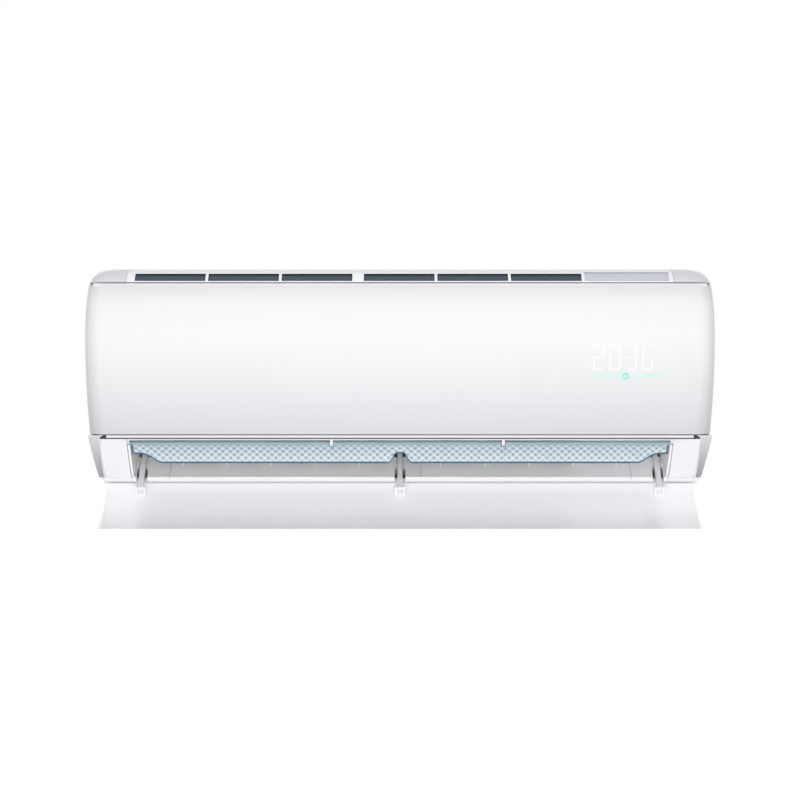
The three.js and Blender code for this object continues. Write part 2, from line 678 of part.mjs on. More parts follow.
// The cradle that carries the motor from below and behind, on the duct's end ramp and the back wall.
function makeMotorBracket() {
  const x0 = FAN_END + END_WALL + FIT_GAP;
  const x1 = x0 + MOTOR_LENGTH - 2;
  const clear = MOTOR_RADIUS + 2.4;
  const [y, z] = FAN_CENTRE;
  const shape = box(x0, x1, y - 20, BACK - SHELL_WALL - FIT_GAP, z - 20, z + 20);
  const cradle = shape.subtract(rodX(x0 - 1, x1 + 1, FAN_CENTRE, clear, 32));
  const spine = cradle.intersect(box(-FAR, FAR, FAN_CENTRE[0] + 10, FAR, -FAR, FAR));
  add('motor_bracket', spine, SOFT_WHITE);
}

// ---- coil ----

// The three sections of the coil: the ends of each centre line in the [y, z] plane.
function coilSections() {
  const frontLine = FRONT + 37.5;
  return {
    coil_front: [[frontLine, BOTTOM + 98], [frontLine, TOP - 88]],
    coil_upper: [[frontLine + 9, TOP - 80], [frontLine + 58, TOP - 29]],
    coil_rear: [[FRONT + 117, TOP - 29], coilFoot()],
  };
}

// The lower end of the coil's rear section, over the trough behind the fan.
function coilFoot() {
  return [BACK - 27, FAN_CENTRE[1] + 95];
}

// A block of upright fins on a web at its fan side: a comb drawn out along the section's line.
function finBlock(line, x0, x1) {
  const half = COIL_THICKNESS / 2;
  const slots = Math.floor((x1 - x0 - FIN_WALL) / FIN_PITCH);
  const pitch = (x1 - x0 - FIN_WALL) / slots;
  const comb = [[x0, -half], [x1, -half]];
  for (let i = slots; i > 0; i -= 1) {
    const right = x0 + i * pitch;
    const left = right - pitch + FIN_WALL;
    comb.push([right, half], [right, COIL_WEB - half], [left, COIL_WEB - half], [left, half]);
  }
  comb.splice(2, 0, [x1, half]);
  comb.push([x0, half]);
  const [run, end] = [unitVector(line[0], line[1]), line[1]];
  const length = Math.hypot(end[0] - line[0][0], end[1] - line[0][1]);
  const block = new THREE.ExtrudeGeometry(shapeOf(comb), { depth: length, bevelEnabled: false });
  block.applyMatrix4(new THREE.Matrix4().set(
    1, 0, 0, 0,
    0, -run[1], -run[0], end[0],
    0, run[0], -run[1], end[1],
    0, 0, 0, 1,
  ));
  return solidOf(block);
}

function makeCoil() {
  const bounds = coilSections();
  const plates = { left: null, right: null };
  for (const [name, line] of Object.entries(bounds)) {
    add(name, finBlock(line, COIL_LEFT, COIL_RIGHT), ALUMINIUM);
    const plate = ordered(wallAlong([along(line[0], unitVector(line[1], line[0]), 3),
      along(line[1], unitVector(line[0], line[1]), 3)], COIL_THICKNESS + 3));
    const left = COIL_LEFT - FIT_GAP;
    const right = COIL_RIGHT + FIT_GAP;
    const leftPlate = alongX(plate, left - TUBE_PLATE, left).add(returnBends(line, left - TUBE_PLATE, -1));
    const bends = returnBends(line, right + TUBE_PLATE, 1);
    const rightPlate = alongX(plate, right, right + TUBE_PLATE).add(bends);
    plates.left = plates.left ? plates.left.add(leftPlate) : leftPlate;
    plates.right = plates.right ? plates.right.add(rightPlate) : rightPlate;
  }
  const hook = FAN_CENTRE[1] + 92;
  const link = rectangle(FRONT + 36, FRONT + 52, TOP - 92, TOP - 70);
  const bridge = rectangle(FRONT + 90, FRONT + 122, TOP - 36, TOP - 22);
  const edge = { left: COIL_LEFT - FIT_GAP - TUBE_PLATE, right: COIL_RIGHT + FIT_GAP };
  for (const side of ['left', 'right']) {
    for (const patch of [link, bridge]) {
      plates[side] = plates[side].add(alongX(patch, edge[side], edge[side] + TUBE_PLATE));
    }
  }
  const reach = -OUTLET_HALF_WIDTH + FIT_GAP;
  const arm = box(reach, edge.left + 1, BACK - 40, BACK - 26, hook - 3, hook);
  const foot = box(edge.right, FAN_END - FIT_GAP, BACK - 40, BACK - 26, hook - 3, hook);
  add('tube_plate_left', plates.left.add(arm), STEEL);
  add('tube_plate_right', plates.right.add(foot), STEEL);
}

function ordered(points) {
  return THREE.ShapeUtils.area(points.map(([a, b]) => new THREE.Vector2(a, b))) < 0
    ? [...points].reverse() : points;
}

// Copper return bends that join neighbouring tubes of two rows, outside a tube plate.
function returnBends(line, x, outward) {
  const run = unitVector(line[0], line[1]);
  const across = [-run[1], run[0]];
  const length = Math.hypot(line[1][0] - line[0][0], line[1][1] - line[0][1]);
  const count = Math.floor((length - 8) / TUBE_PITCH / 1.8);
  let bends = null;
  for (let i = 0; i < count; i += 1) {
    const s = (length / count) * (i + 0.5);
    for (const row of [-1, 1]) {
      const centre = along(along(line[0], run, s), across, row * COIL_THICKNESS * 0.26);
      const bend = returnBend(centre, run, x, outward);
      bends = bends ? bends.add(bend) : bend;
    }
  }
  return bends;
}

function returnBend([y, z], run, x, outward) {
  const half = TUBE_PITCH / 4;
  const at = (side, out) => {
    const [atY, atZ] = along([y, z], run, side * half);
    return new THREE.Vector3(x + outward * out, atY, atZ);
  };
  const corners = [at(-1, -1), at(-1, 3 + half), at(1, 3 + half), at(1, -1)];
  return bentTube(corners, TUBE_RADIUS, half - 0.05, 5, 1);
}

// A round tube along straight runs between corners, each corner an arc of the bend radius.
function bentTube(corners, radius, bend, sides, steps) {
  const stations = [corners[0]];
  for (let i = 1; i + 1 < corners.length; i += 1) {
    const into = corners[i].clone().sub(corners[i - 1]).normalize();
    const out = corners[i + 1].clone().sub(corners[i]).normalize();
    const turn = into.angleTo(out);
    const reach = bend * Math.tan(turn / 2);
    const start = corners[i].clone().addScaledVector(into, -reach);
    const inward = out.clone().addScaledVector(into, -out.dot(into)).normalize();
    for (let k = 0; k <= steps; k += 1) {
      const a = turn * (k / steps);
      stations.push(start.clone().addScaledVector(into, bend * Math.sin(a))
        .addScaledVector(inward, bend * (1 - Math.cos(a))));
    }
  }
  stations.push(corners.at(-1));
  let normal = null;
  const rings = stations.map((point, i) => {
    const before = stations[Math.max(i - 1, 0)];
    const after = stations[Math.min(i + 1, stations.length - 1)];
    const tangent = after.clone().sub(before).normalize();
    const alongTheUnit = Math.abs(tangent.x) > 0.9;
    const seed = normal ?? (alongTheUnit ? new THREE.Vector3(0, 1, 0) : new THREE.Vector3(1, 0, 0));
    normal = seed.clone().addScaledVector(tangent, -seed.dot(tangent)).normalize();
    const binormal = new THREE.Vector3().crossVectors(tangent, normal);
    return Array.from({ length: sides }, (_, k) => {
      const a = (k / sides) * 2 * Math.PI;
      const p = point.clone().addScaledVector(normal, radius * Math.cos(a));
      return p.addScaledVector(binormal, radius * Math.sin(a)).toArray();
    });
  });
  return stack(rings);
}

// ---- louvers: a point on the duct's lower wall, and directions along and out of it ----

const LOUVER_BASE = along(along(DUCT_START, DUCT_RUN, 42), DUCT_UP, DUCT_WALL / 2);

function louverPlaces() {
  const places = [];
  for (const [group, centre] of [['left', -ARM_OFFSET / 2], ['right', ARM_OFFSET / 2]]) {
    for (let i = 0; i < LOUVERS_PER_GROUP; i += 1) {
      places.push([centre + (i - (LOUVERS_PER_GROUP - 1) / 2) * LOUVER_PITCH, group, i + 1]);
    }
  }
  return places;
}

// Turns a solid drawn with X across, Y forward along the duct and Z out of its wall onto that wall.
function onDuctWall(geometry, x) {
  const [ry, rz] = DUCT_RUN;
  const [uy, uz] = DUCT_UP;
  const [by, bz] = LOUVER_BASE;
  geometry.applyMatrix4(new THREE.Matrix4().set(-1, 0, 0, x, 0, ry, uy, by, 0, rz, uz, bz, 0, 0, 0, 1));
  return solidOf(geometry);
}

function louverPivot(x, radius, depth) {
  const pin = new THREE.CylinderGeometry(radius, radius, depth, 8);
  pin.rotateX(Math.PI / 2);
  pin.translate(0, 0, 0.6 - depth / 2);
  return onDuctWall(pin, x);
}

function makeLouvers() {
  for (const [x, group, number] of louverPlaces()) {
    const blade = new THREE.Shape();
    blade.moveTo(-LOUVER_BACK, 4);
    blade.quadraticCurveTo(-LOUVER_BACK, 1.2, -LOUVER_BACK + 5, 1.2);
    blade.lineTo(LOUVER_FRONT - 6, 1.2);
    blade.quadraticCurveTo(LOUVER_FRONT + 3, 6, LOUVER_FRONT - 2, LOUVER_HEIGHT - 6);
    blade.quadraticCurveTo(LOUVER_FRONT - 4, LOUVER_HEIGHT, LOUVER_FRONT - 10, LOUVER_HEIGHT);
    blade.lineTo(-LOUVER_BACK, LOUVER_HEIGHT);
    const sheet = { depth: LOUVER_WALL, bevelEnabled: false, curveSegments: 2 };
    const plate = new THREE.ExtrudeGeometry(blade, sheet);
    plate.translate(0, 0, -LOUVER_WALL / 2);
    plate.applyMatrix4(new THREE.Matrix4().set(0, 0, 1, 0, 1, 0, 0, 0, 0, 1, 0, 0, 0, 0, 0, 1));
    const disc = new THREE.CylinderGeometry(5, 5, 1.5, 8);
    disc.rotateX(Math.PI / 2);
    disc.translate(0, 0, 0.75 + FIT_GAP);
    const peg = new THREE.CylinderGeometry(LOUVER_PEG_RADIUS, LOUVER_PEG_RADIUS, 6, 6);
    peg.rotateX(Math.PI / 2);
    peg.translate(0, -LOUVER_PEG_ARM, LOUVER_HEIGHT + 2);
    const pieces = [plate, disc, peg].map((geometry) => onDuctWall(geometry, x));
    add(`louver_${group}_${number}`, join(...pieces, louverPivot(x, 2.4, DUCT_WALL)), SOFT_WHITE);
  }
  for (const group of ['left', 'right']) {
    const xs = louverPlaces().filter((place) => place[1] === group).map((place) => place[0]);
    const x0 = Math.min(...xs) - 8;
    const x1 = Math.max(...xs) + 8;
    const strip = new THREE.BoxGeometry(x1 - x0, 9, 1.6);
    strip.translate(0, -LOUVER_PEG_ARM + 0.6, LOUVER_HEIGHT + 1.4);
    let bar = onDuctWall(strip, (x0 + x1) / 2);
    for (const x of xs) {
      const slot = new THREE.BoxGeometry(2 * LOUVER_PEG_RADIUS + 1, 2 * LOUVER_PEG_RADIUS + 2.6, 6);
      slot.translate(0, -LOUVER_PEG_ARM + 0.8, LOUVER_HEIGHT + 1.4);
      bar = bar.subtract(onDuctWall(slot, x));
    }
    add(`link_bar_${group}`, bar, SOFT_WHITE);
  }
}

// ---- inner vane ----

function vanePinHole(side) {
  const x = side * OUTLET_HALF_WIDTH;
  return rodX(x - 6, x + 6, VANE_AXIS, VANE_PIN_RADIUS + FIT_GAP, 12);
}

// The vane's outline, as [x, drop below its axis]: notched where each arm passes.
function vaneOutline(end) {
  const foot = VANE_LENGTH;
  const high = 19;
  return [
    [-end, -3], [-end, high], [-ARM_OFFSET + 6, high], [-ARM_OFFSET + 14, high + 3],
    [-ARM_OFFSET + 30, foot], [-14, foot], [-7, high + 1.5], [7, high + 1.5], [14, foot],
    [ARM_OFFSET - 30, foot], [ARM_OFFSET - 14, high + 3], [ARM_OFFSET - 6, high], [end, high], [end, -3],
  ];
}

function makeVane() {
  const end = OUTLET_HALF_WIDTH - VANE_END_GAP;
  const top = along(VANE_AXIS, [0, 1], 3.2);
  const bottom = along(VANE_AXIS, [0, -1], VANE_LENGTH + 1);
  const middle = along(along(VANE_AXIS, [0, -1], VANE_LENGTH / 2), [1, 0], 4);
  const section = wallAlong(quadratic(top, middle, bottom, 5), VANE_WALL);
  const blade = alongX(ordered(section), -end, end);
  const outline = vaneOutline(end).map(([x, drop]) => [x, VANE_AXIS[1] - drop]);
  let vane = blade.intersect(alongY(ordered(outline), VANE_AXIS[0] - 20, VANE_AXIS[0] + 20));
  const spine = rodX(-end, end, VANE_AXIS, VANE_PIN_RADIUS + 0.8, 12);
  vane = vane.add(spine);
  for (const x of VANE_HANGERS) {
    const [y, z] = VANE_AXIS;
    vane = vane.subtract(box(x - 3, x + 3, y - 9, y + 9, z - 6, z + 9));
    vane = vane.add(rodX(x - 5, x + 5, VANE_AXIS, VANE_PIN_RADIUS, 12));
  }
  vane = vane.add(rodX(-OUTLET_HALF_WIDTH - 2.4, OUTLET_HALF_WIDTH + 2.4, VANE_AXIS, VANE_PIN_RADIUS, 12));
  add('inner_vane', turnAboutX(vane, VANE_AXIS, VANE_TILT), BLUE_CLEAR);
}

function turnAboutX(solid, [y, z], degrees) {
  return solid.translate([0, -y, -z]).rotate([degrees, 0, 0]).translate([0, y, z]);
}

// ---- flap, arms and their drive ----

function makeFlap() {
  const outer = flapFace();
  const section = [...outer, ...offsetPath(outer, -FLAP_WALL).reverse()];
  let flap = alongX(ordered(section), -FLAP_HALF_LENGTH, FLAP_HALF_LENGTH);
  for (const x of [-ARM_OFFSET, 0, ARM_OFFSET]) {
    for (const side of [-1, 1]) {
      const x0 = x + side * (ARM_WIDTH / 2 + 0.6);
      const x1 = x0 + side * 2.6;
      const ear = flapEar();
      flap = flap.add(alongX(ear, Math.min(x0, x1), Math.max(x0, x1)));
    }
  }
  flap = turnAboutX(flap, FLAP_HINGE_SHUT, FLAP_OPEN_ANGLE);
  const out = [ARM_OUT[0] * ARM_TRAVEL, ARM_OUT[1] * ARM_TRAVEL];
  flap = flap.translate([0, out[0], out[1]]);
  const armSpace = ordered([[-5, 4.2], [30, 4.2], [30, -4.2], [-5, -4.2]]
    .map(([reach, down]) => along(along(FLAP_HINGE, ARM_OUT, -reach), ARM_DOWN, down)));
  for (const x of [-ARM_OFFSET, 0, ARM_OFFSET]) {
    flap = flap.subtract(rodX(x - 12, x + 12, FLAP_HINGE, HINGE_PIN_RADIUS + FIT_GAP, 12));
    flap = flap.subtract(alongX(armSpace, x - ARM_WIDTH / 2 - 0.6, x + ARM_WIDTH / 2 + 0.6));
  }
  add('outlet_flap', flap, WHITE);
}

// One ear of the bracket that takes the arm's pin, in the shut position.
function flapEar() {
  const [y, z] = FLAP_HINGE_SHUT;
  const r = HINGE_KNUCKLE_RADIUS;
  const floor = BOTTOM + FLAP_WALL - 0.6;
  return ordered([
    [y + r, z], [y + r * 0.7, z + r * 0.7], [y, z + r], [y - r * 0.7, z + r * 0.7],
    [y - r - 2, z - 1], [y - r - 9, floor + 1.4], [y + r - 1, floor],
  ]);
}

function rackSection() {
  const half = ARM_HEIGHT / 2;
  const pitch = Math.PI * RACK_MODULE;
  const tip = RACK_MODULE * 0.9;
  const root = RACK_MODULE * 1.15;
  const lean = Math.tan(THREE.MathUtils.degToRad(20));
  const tooth = pitch / 4 - 0.18;
  const before = Math.ceil((ARM_TRAVEL + 3) / pitch);
  const lower = [];
  for (let i = -before; i <= 2; i += 1) {
    const s = PINION_REACH + i * pitch;
    lower.push([s - tooth - root * lean, half - root], [s - tooth + tip * lean, half + tip]);
    lower.push([s + tooth - tip * lean, half + tip], [s + tooth + root * lean, half - root]);
  }
  const knuckle = HINGE_KNUCKLE_RADIUS;
  const thin = ARM_TIP_HEIGHT / 2;
  return [
    [-knuckle, 0], [-knuckle * 0.7, knuckle * 0.7], [0, knuckle], [3.5, thin],
    [lower[0][0] - 3, thin], ...lower,
    [ARM_LENGTH, half - root], [ARM_LENGTH, -half], [14, -half], [8, -thin], [3.5, -thin],
    [0, -knuckle], [-knuckle * 0.7, -knuckle * 0.7],
  ];
}

function makeArms() {
  const section = rackSection().map(([s, down]) => along(along(FLAP_HINGE, ARM_OUT, -s), ARM_DOWN, down));
  const places = { arm_left: -ARM_OFFSET, arm_centre: 0, arm_right: ARM_OFFSET };
  for (const [name, x] of Object.entries(places)) {
    const bar = alongX(ordered(section), x - ARM_WIDTH / 2, x + ARM_WIDTH / 2);
    const reach = ARM_WIDTH / 2 + 3.4;
    add(name, bar.add(rodX(x - reach, x + reach, FLAP_HINGE, HINGE_PIN_RADIUS, 10)), WHITE);
  }
}

function pinionSection(centre) {
  const pitchRadius = RACK_MODULE * PINION_TEETH / 2;
  const tip = pitchRadius + RACK_MODULE * 0.85;
  const root = pitchRadius - RACK_MODULE * 1.15;
  const step = 360 / PINION_TEETH;
  const points = [];
  const up = Math.atan2(-ARM_DOWN[1], -ARM_DOWN[0]);
  for (let i = 0; i < PINION_TEETH; i += 1) {
    const places = [[-0.31, root], [-0.085, tip], [0.085, tip], [0.31, root]];
    for (const [share, radius] of places) {
      const a = up + THREE.MathUtils.degToRad((i + 0.5 + share) * step);
      points.push([centre[0] + radius * Math.cos(a), centre[1] + radius * Math.sin(a)]);
    }
  }
  return ordered(points);
}

function makeDriveShaft() {
  const centre = pinionCentre();
  const end = OUTLET_HALF_WIDTH - 0.6;
  let shaft = rodX(-end, end, centre, DRIVE_SHAFT_RADIUS, 12);
  for (const x of [-ARM_OFFSET, 0, ARM_OFFSET]) {
    shaft = shaft.add(alongX(pinionSection(centre), x - ARM_WIDTH / 2, x + ARM_WIDTH / 2));
  }
  add('drive_shaft', shaft, STEEL);
}

// ---- covers ----

function makeFrontPanel() {
  const region = box(-FAR, FAR, -FAR, PANEL_REAR, PANEL_FOOT, PANEL_AXIS[1]);
  const bead = rodX(-FAR, FAR, PANEL_AXIS, PANEL_BEAD_RADIUS, 16)
    .intersect(upperBody(0))
    .intersect(box(-HALF_WIDTH + 12, HALF_WIDTH - 12, -FAR, FAR, -FAR, FAR));
  add('front_panel', upperSkin(0, SHELL_WALL).intersect(region).add(bead), WHITE);
}

function windowSpans() {
  const spans = [];
  const each = (x0, x1) => {
    const width = (x1 - x0 - 2 * WINDOW_RIB) / 3;
    for (let i = 0; i < 3; i += 1) {
      const start = x0 + i * (width + WINDOW_RIB);
      spans.push([start, start + width]);
    }
  };
  each(BAY_LEFT_END + 2.5, BAY_SPLIT - CENTRE_RIB / 2);
  each(BAY_SPLIT + CENTRE_RIB / 2, BAY_RIGHT_END);
  return spans;
}

function makeGrille() {
  const end = OUTLET_OUTSIDE;
  const region = box(-end, end, -FAR, BACK, SEAM_Z, FAR);
  let grille = upperSkin(0, SHELL_WALL).intersect(region);
  grille = grille.add(box(-end, end, BACK - SHELL_WALL - 6, BACK, TOP - 7, TOP - 1));
  for (const [x0, x1] of windowSpans()) {
    grille = grille.subtract(box(x0, x1, FRONT, FRONT + 36, TOP - 18.6, TOP - 8));
    const row = 34;
    for (let y = FRONT + 64; y + row - 5 < BACK - 14; y += row) {
      grille = grille.subtract(box(x0, x1, y, y + row - 5, TOP - 10, TOP + 5));
    }
  }
  const place = box(BAY_RIGHT_END + 4, end - 6, -FAR, FRONT + 50, TOP - 18.6, TOP - 6);
  const blank = upperBody(-1).subtract(upperBody(1)).intersect(place);
  add('intake_grille', grille.subtract(blank), WHITE);
}

function makeSideCovers() {
  const start = OUTLET_OUTSIDE + FIT_GAP;
  const seam = PANEL_FOOT - 1.2;
  const whole = upperSkin(0, SHELL_WALL);
  const upper = whole.intersect(box(-FAR, FAR, -FAR, BACK, SEAM_Z, FAR));
  const wall = whole.intersect(box(-FAR, FAR, PANEL_REAR + SHUT_GAP, BACK, seam + FIT_GAP, SEAM_Z + 1));
  const lower = box(-FAR, FAR, -FAR, BACK, RIM_TOP, seam);
  const between = box(-TRIM_INNER_EDGE, TRIM_INNER_EDGE, -FAR, FAR, -FAR, FAR);
  const beyond = box(-TRIM_INNER_EDGE + 1.5, TRIM_INNER_EDGE - 1.5, -FAR, FAR, -FAR, FAR);
  const inner = FLAP_RECESS + SHELL_WALL;
  const cheek = lowerSkin(FLAP_RECESS, inner).intersect(lower).intersect(between);
  const corner = lowerSkin(TRIM_WALL + FIT_GAP, inner).intersect(lower).subtract(beyond);
  const lowest = box(-FAR, FAR, -FAR, RIM_FRONT + 6, RIM_TOP, RIM_TOP + SHELL_WALL);
  const floor = lowerBody(FLAP_RECESS).intersect(lowest);
  const behind = box(-FAR, FAR, FLAP_REAR_EDGE[0] + SHUT_GAP, BACK, -FAR, seam + 1);
  const rear = lowerSkin(0, inner).intersect(behind)
    .subtract(box(-FAR, FAR, -CHANNEL_DEPTH - SHELL_WALL - 1, FAR, -FAR, CHANNEL_TOP).subtract(beyond));
  const tieZone = box(-FAR, FAR, PANEL_REAR + SHUT_GAP, BACK, seam + FIT_GAP, seam + 5);
  const tie = upperSkin(0, inner).intersect(tieZone).subtract(between);
  const block = join(upper, wall, cheek, corner, floor, rear, tie);
  const left = box(-FAR, -start, -FAR, FAR, -FAR, FAR);
  const right = box(start, FAR, -FAR, FAR, -FAR, FAR);
  add('side_cover_left', block.intersect(left).add(rimEnd(start, -1)), WHITE);
  add('side_cover_right', block.intersect(right).add(rimEnd(start, 1)), WHITE);
}

// The lower rim where it runs on under a cheek and rounds off at the body's corner.
function rimEnd(start, side) {
  const corner = lowerHalfWidth(RIM_TOP, 0);
  const radius = 10;
  const outline = [[start, RIM_BOTTOM], [corner - radius, RIM_BOTTOM]];
  for (let i = 1; i <= 4; i += 1) {
    const a = (i / 4) * Math.PI / 2;
    outline.push([corner - radius + radius * Math.sin(a), RIM_BOTTOM + radius * (1 - Math.cos(a))]);
  }
  outline.push([start, RIM_BOTTOM + radius]);
  const placed = outline.map(([x, z]) => [side * x, z]);
  const under = box(-FAR, FAR, -FAR, FAR, -FAR, RIM_TOP + 1);
  const slab = alongY(ordered(placed), RIM_FRONT, FLAP_REAR_EDGE[0] + SHUT_GAP + 3);
  return slab.intersect(under);
}

function makeTrims() {
  const region = box(-FAR, FAR, -FAR, RIM_FRONT, RIM_TOP + FIT_GAP + 1, PANEL_FOOT - 1.2);
  const band = lowerSkin(0, TRIM_WALL).intersect(region);
  const left = box(-FAR, -TRIM_INNER_EDGE, -FAR, FAR, -FAR, FAR);
  const right = box(TRIM_INNER_EDGE, FAR, -FAR, FAR, -FAR, FAR);
  add('trim_left', band.intersect(left), SILVER);
  add('trim_right', band.intersect(right), SILVER);
}

// The frame behind the front panel: two filter bays, and a blank end that carries the display.
function makeFrontFrame() {
  const outer = SHELL_WALL + 0.5;
  const region = box(-FAR, FAR, -FAR, PANEL_REAR - 2, PANEL_FOOT - 1, PANEL_AXIS[1] - PANEL_BEAD_RADIUS - 1);
  let frame = upperSkin(outer, outer + 2.6).intersect(region);
  const bayBottom = BOTTOM + 100;
  const bayTop = TOP - 34;
  frame = frame.subtract(box(BAY_LEFT_END + 4, BAY_SPLIT - 6, -FAR, PANEL_REAR, bayBottom, bayTop));
  frame = frame.subtract(box(BAY_SPLIT + 6, BAY_RIGHT_END - 6, -FAR, PANEL_REAR, bayBottom, bayTop));
  const shoulder = HALF_WIDTH - 18;
  frame = frame.subtract(box(shoulder, FAR, -FAR, FAR, BULGE_Z + 8, FAR))
    .subtract(box(-FAR, -shoulder, -FAR, FAR, BULGE_Z + 8, FAR));
  add('front_frame', frame, SOFT_WHITE);
  const end = STRIP_HALF_LENGTH;
  const place = box(-end, end, -FAR, FRONT + 40, PANEL_FOOT - 4.6, PANEL_FOOT - 1.2);
  const strip = upperSkin(1.5, 4.5).intersect(place);
  add('chrome_strip', strip, SILVER);
}

// Each filter is one thin sheet with a frame and ribs, bent over the coil from the front to the top.
function makeFilters() {
  const bays = {
    filter_left: [FIT_GAP - OUTLET_HALF_WIDTH, BAY_SPLIT - 1],
    filter_right: [BAY_SPLIT + 1, FAN_END - FIT_GAP],
  };
  const profile = upperProfile().filter(([, z], i) => z > BOTTOM + 96 && i % 2 === 0);
  profile.push([FRONT + 118, TOP]);
  const path = offsetPath(profile, -FILTER_INSET - FILTER_WALL / 2);
  const sheet = ordered(wallAlong(path, FILTER_WALL));
  const edge = ordered(wallAlong(path, FILTER_WALL + 1.4));
  for (const [name, [x0, x1]] of Object.entries(bays)) {
    let filter = alongX(sheet, x0, x1);
    const ribs = 3;
    for (let i = 0; i <= ribs; i += 1) {
      const x = x0 + (x1 - x0 - 4) * (i / ribs);
      filter = filter.add(alongX(edge, x, x + 4));
    }
    for (const end of [path.slice(0, 2), path.slice(-2)]) {
      const run = unitVector(end[0], end[1]);
      const near = end[0] === path[0] ? end[0] : end[1];
      const far = along(near, run, end[0] === path[0] ? 5 : -5);
      filter = filter.add(alongX(ordered(wallAlong([near, far], FILTER_WALL + 1.4)), x0, x1));
    }
    const [ty, tz] = path[0];
    filter = filter.add(box((x0 + x1) / 2 - 16, (x0 + x1) / 2 + 16, ty - 1, ty + 0.6, tz - 7, tz + 3));
    add(name, filter, FILTER_BLUE);
  }
}

// ---- electrics ----

// What stands on the circuit board: a capacitor, a chip, a row of plugs and three relays.
function boardParts(x, y, z) {
  let parts = rodX(x, x + 19, [y + 24, z + 42], 9, 14).add(box(x, x + 3, y + 24, y + 46, z + 96, z + 118));
  for (let i = 0; i < 4; i += 1) {
    parts = parts.add(box(x, x + 9, y + 10 + i * 22, y + 26 + i * 22, z + 6, z + 14));
  }
  for (let i = 0; i < 3; i += 1) {
    parts = parts.add(box(x, x + 16, y + 44 + i * 20, y + 58 + i * 20, z + 32, z + 54));
  }
  return parts;
}

function makeElectrics() {
  const x0 = OUTLET_HALF_WIDTH - 33.5;
  const x1 = OUTLET_HALF_WIDTH - FIT_GAP;
  const y0 = FRONT + 24;
  const y1 = y0 + 112;
  const z0 = PAN_TIP[1] + 15;
  const z1 = TOP - 34;
  const tray = box(x0, x1, y0, y1, z0, z1).subtract(box(x0 + 2, x1 - 2, y0 - 1, y1 - 2, z0 + 2, z1 - 2));
  add('control_box', tray, SOFT_WHITE);
  add('control_box_cover', box(x0, x1, y0 - 2.3, y0 - FIT_GAP, z0, z1), STEEL);
  const board = box(x0 + 6, x0 + 7.6, y0 + 3, y1 - 2 - FIT_GAP, z0 + 2 + FIT_GAP, z1 - 8);
  add('circuit_board', board.add(boardParts(x0 + 7, y0, z0)), BOARD_GREEN);
  const blocks = box(x0 - 16, x0 - FIT_GAP, y0 + 2, y0 + 52, z0 + 4, z0 + 26);
  let terminals = blocks;
  for (let i = 0; i < 4; i += 1) {
    const y = y0 + 5 + i * 12;
    terminals = terminals.subtract(box(x0 - 17, x0 - 6, y, y + 8, z0 + 14, z0 + 27));
  }
  add('terminal_block', terminals, DARK_PLASTIC);
  const front = SHELL_WALL + 3.1 + FIT_GAP;
  const right = OUTLET_HALF_WIDTH - 19.5;
  const place = box(right - 90, right, -FAR, FRONT + 30, BULGE_Z - 62, BULGE_Z - 10);
  add('display_board', upperSkin(front, front + 1.6).intersect(place), BOARD_GREEN);
}

// A small geared stepping motor: a round can with two screw ears, its face towards +X or -X.
function stepper(x, [y, z], radius, outward) {
  const x1 = x + outward * 19;
  const can = rodX(Math.min(x, x1), Math.max(x, x1), [y, z], radius, 20);
  const flange = x + outward * 1.6;
  const ears = box(Math.min(x, flange), Math.max(x, flange), y - radius - 6, y + radius + 6, z - 4, z + 4);
  return can.add(ears);
}

// A flat motor under the duct's lower wall, on the pivot of the louver that it turns.
function louverMotor(x) {
  const can = new THREE.CylinderGeometry(10, 10, 7, 16);
  can.rotateX(Math.PI / 2);
  can.translate(0, 0, -DUCT_WALL - FIT_GAP - 3.5);
  const ears = new THREE.BoxGeometry(32, 8, 1.4);
  ears.translate(0, 0, -DUCT_WALL - FIT_GAP - 0.7);
  return onDuctWall(can, x).add(onDuctWall(ears, x));
}

function makeSteppers() {
  const xs = louverPlaces().map(([x]) => x);
  add('louver_motor_left', louverMotor(xs[0]), STEEL);
  add('louver_motor_right', louverMotor(xs.at(-1)), STEEL);
  const side = OUTLET_OUTSIDE + FIT_GAP;
  add('vane_motor', stepper(side, along(VANE_AXIS, [0.8, 0.6], 16), 11, 1), STEEL);
  add('flap_motor', stepper(-side, along(pinionCentre(), [0.8, 0.6], 9), 12, -1), STEEL);
}

// ---- pipes: from the coil out through the end wall, down, and along the rear channel ----

function pipeRuns() {
  const run = unitVector(coilFoot(), [FRONT + 117, TOP - 29]);
  const place = (distance) => along(coilFoot(), run, distance);
  return [
    { name: 'gas', radius: GAS_PIPE_RADIUS, z: BOTTOM + 38, end: 150, rise: 14.5, coilEnd: place(8) },
    { name: 'liquid', radius: LIQUID_PIPE_RADIUS, z: BOTTOM + 20, end: 190, rise: 24, coilEnd: place(19.5) },
  ];
}

function makePipes() {
  const y = -CHANNEL_DEPTH / 2;
  let clip = box(-70, -50, FIT_GAP - CHANNEL_DEPTH, y + 9, BOTTOM + 12, CHANNEL_TOP - FIT_GAP);
  for (const { name, radius, z, end, rise, coilEnd } of pipeRuns()) {
    const riser = OUTLET_OUTSIDE + rise;
    const corners = [
      new THREE.Vector3(-end, y, z),
      new THREE.Vector3(riser, y, z),
      new THREE.Vector3(riser, ...coilEnd),
      new THREE.Vector3(COIL_RIGHT + TUBE_PLATE + 2 * FIT_GAP, ...coilEnd),
    ];
    add(`${name}_pipe`, bentTube(corners, radius, PIPE_BEND, 10, 3), COPPER);
    clip = clip.subtract(rodX(-FAR, FAR, [y, z], radius + FIT_GAP, 10));
    const across = radius * 1.9;
    const nutEnd = -end - 4;
    const nut = rodX(nutEnd, nutEnd + radius * 4, [y, z], across, 6);
    const bore = rodX(nutEnd - 1, nutEnd + 40, [y, z], radius + FIT_GAP, 12);
    add(`${name}_flare_nut`, nut.subtract(bore), BRASS);
  }
  add('pipe_clip', clip, SOFT_WHITE);
}

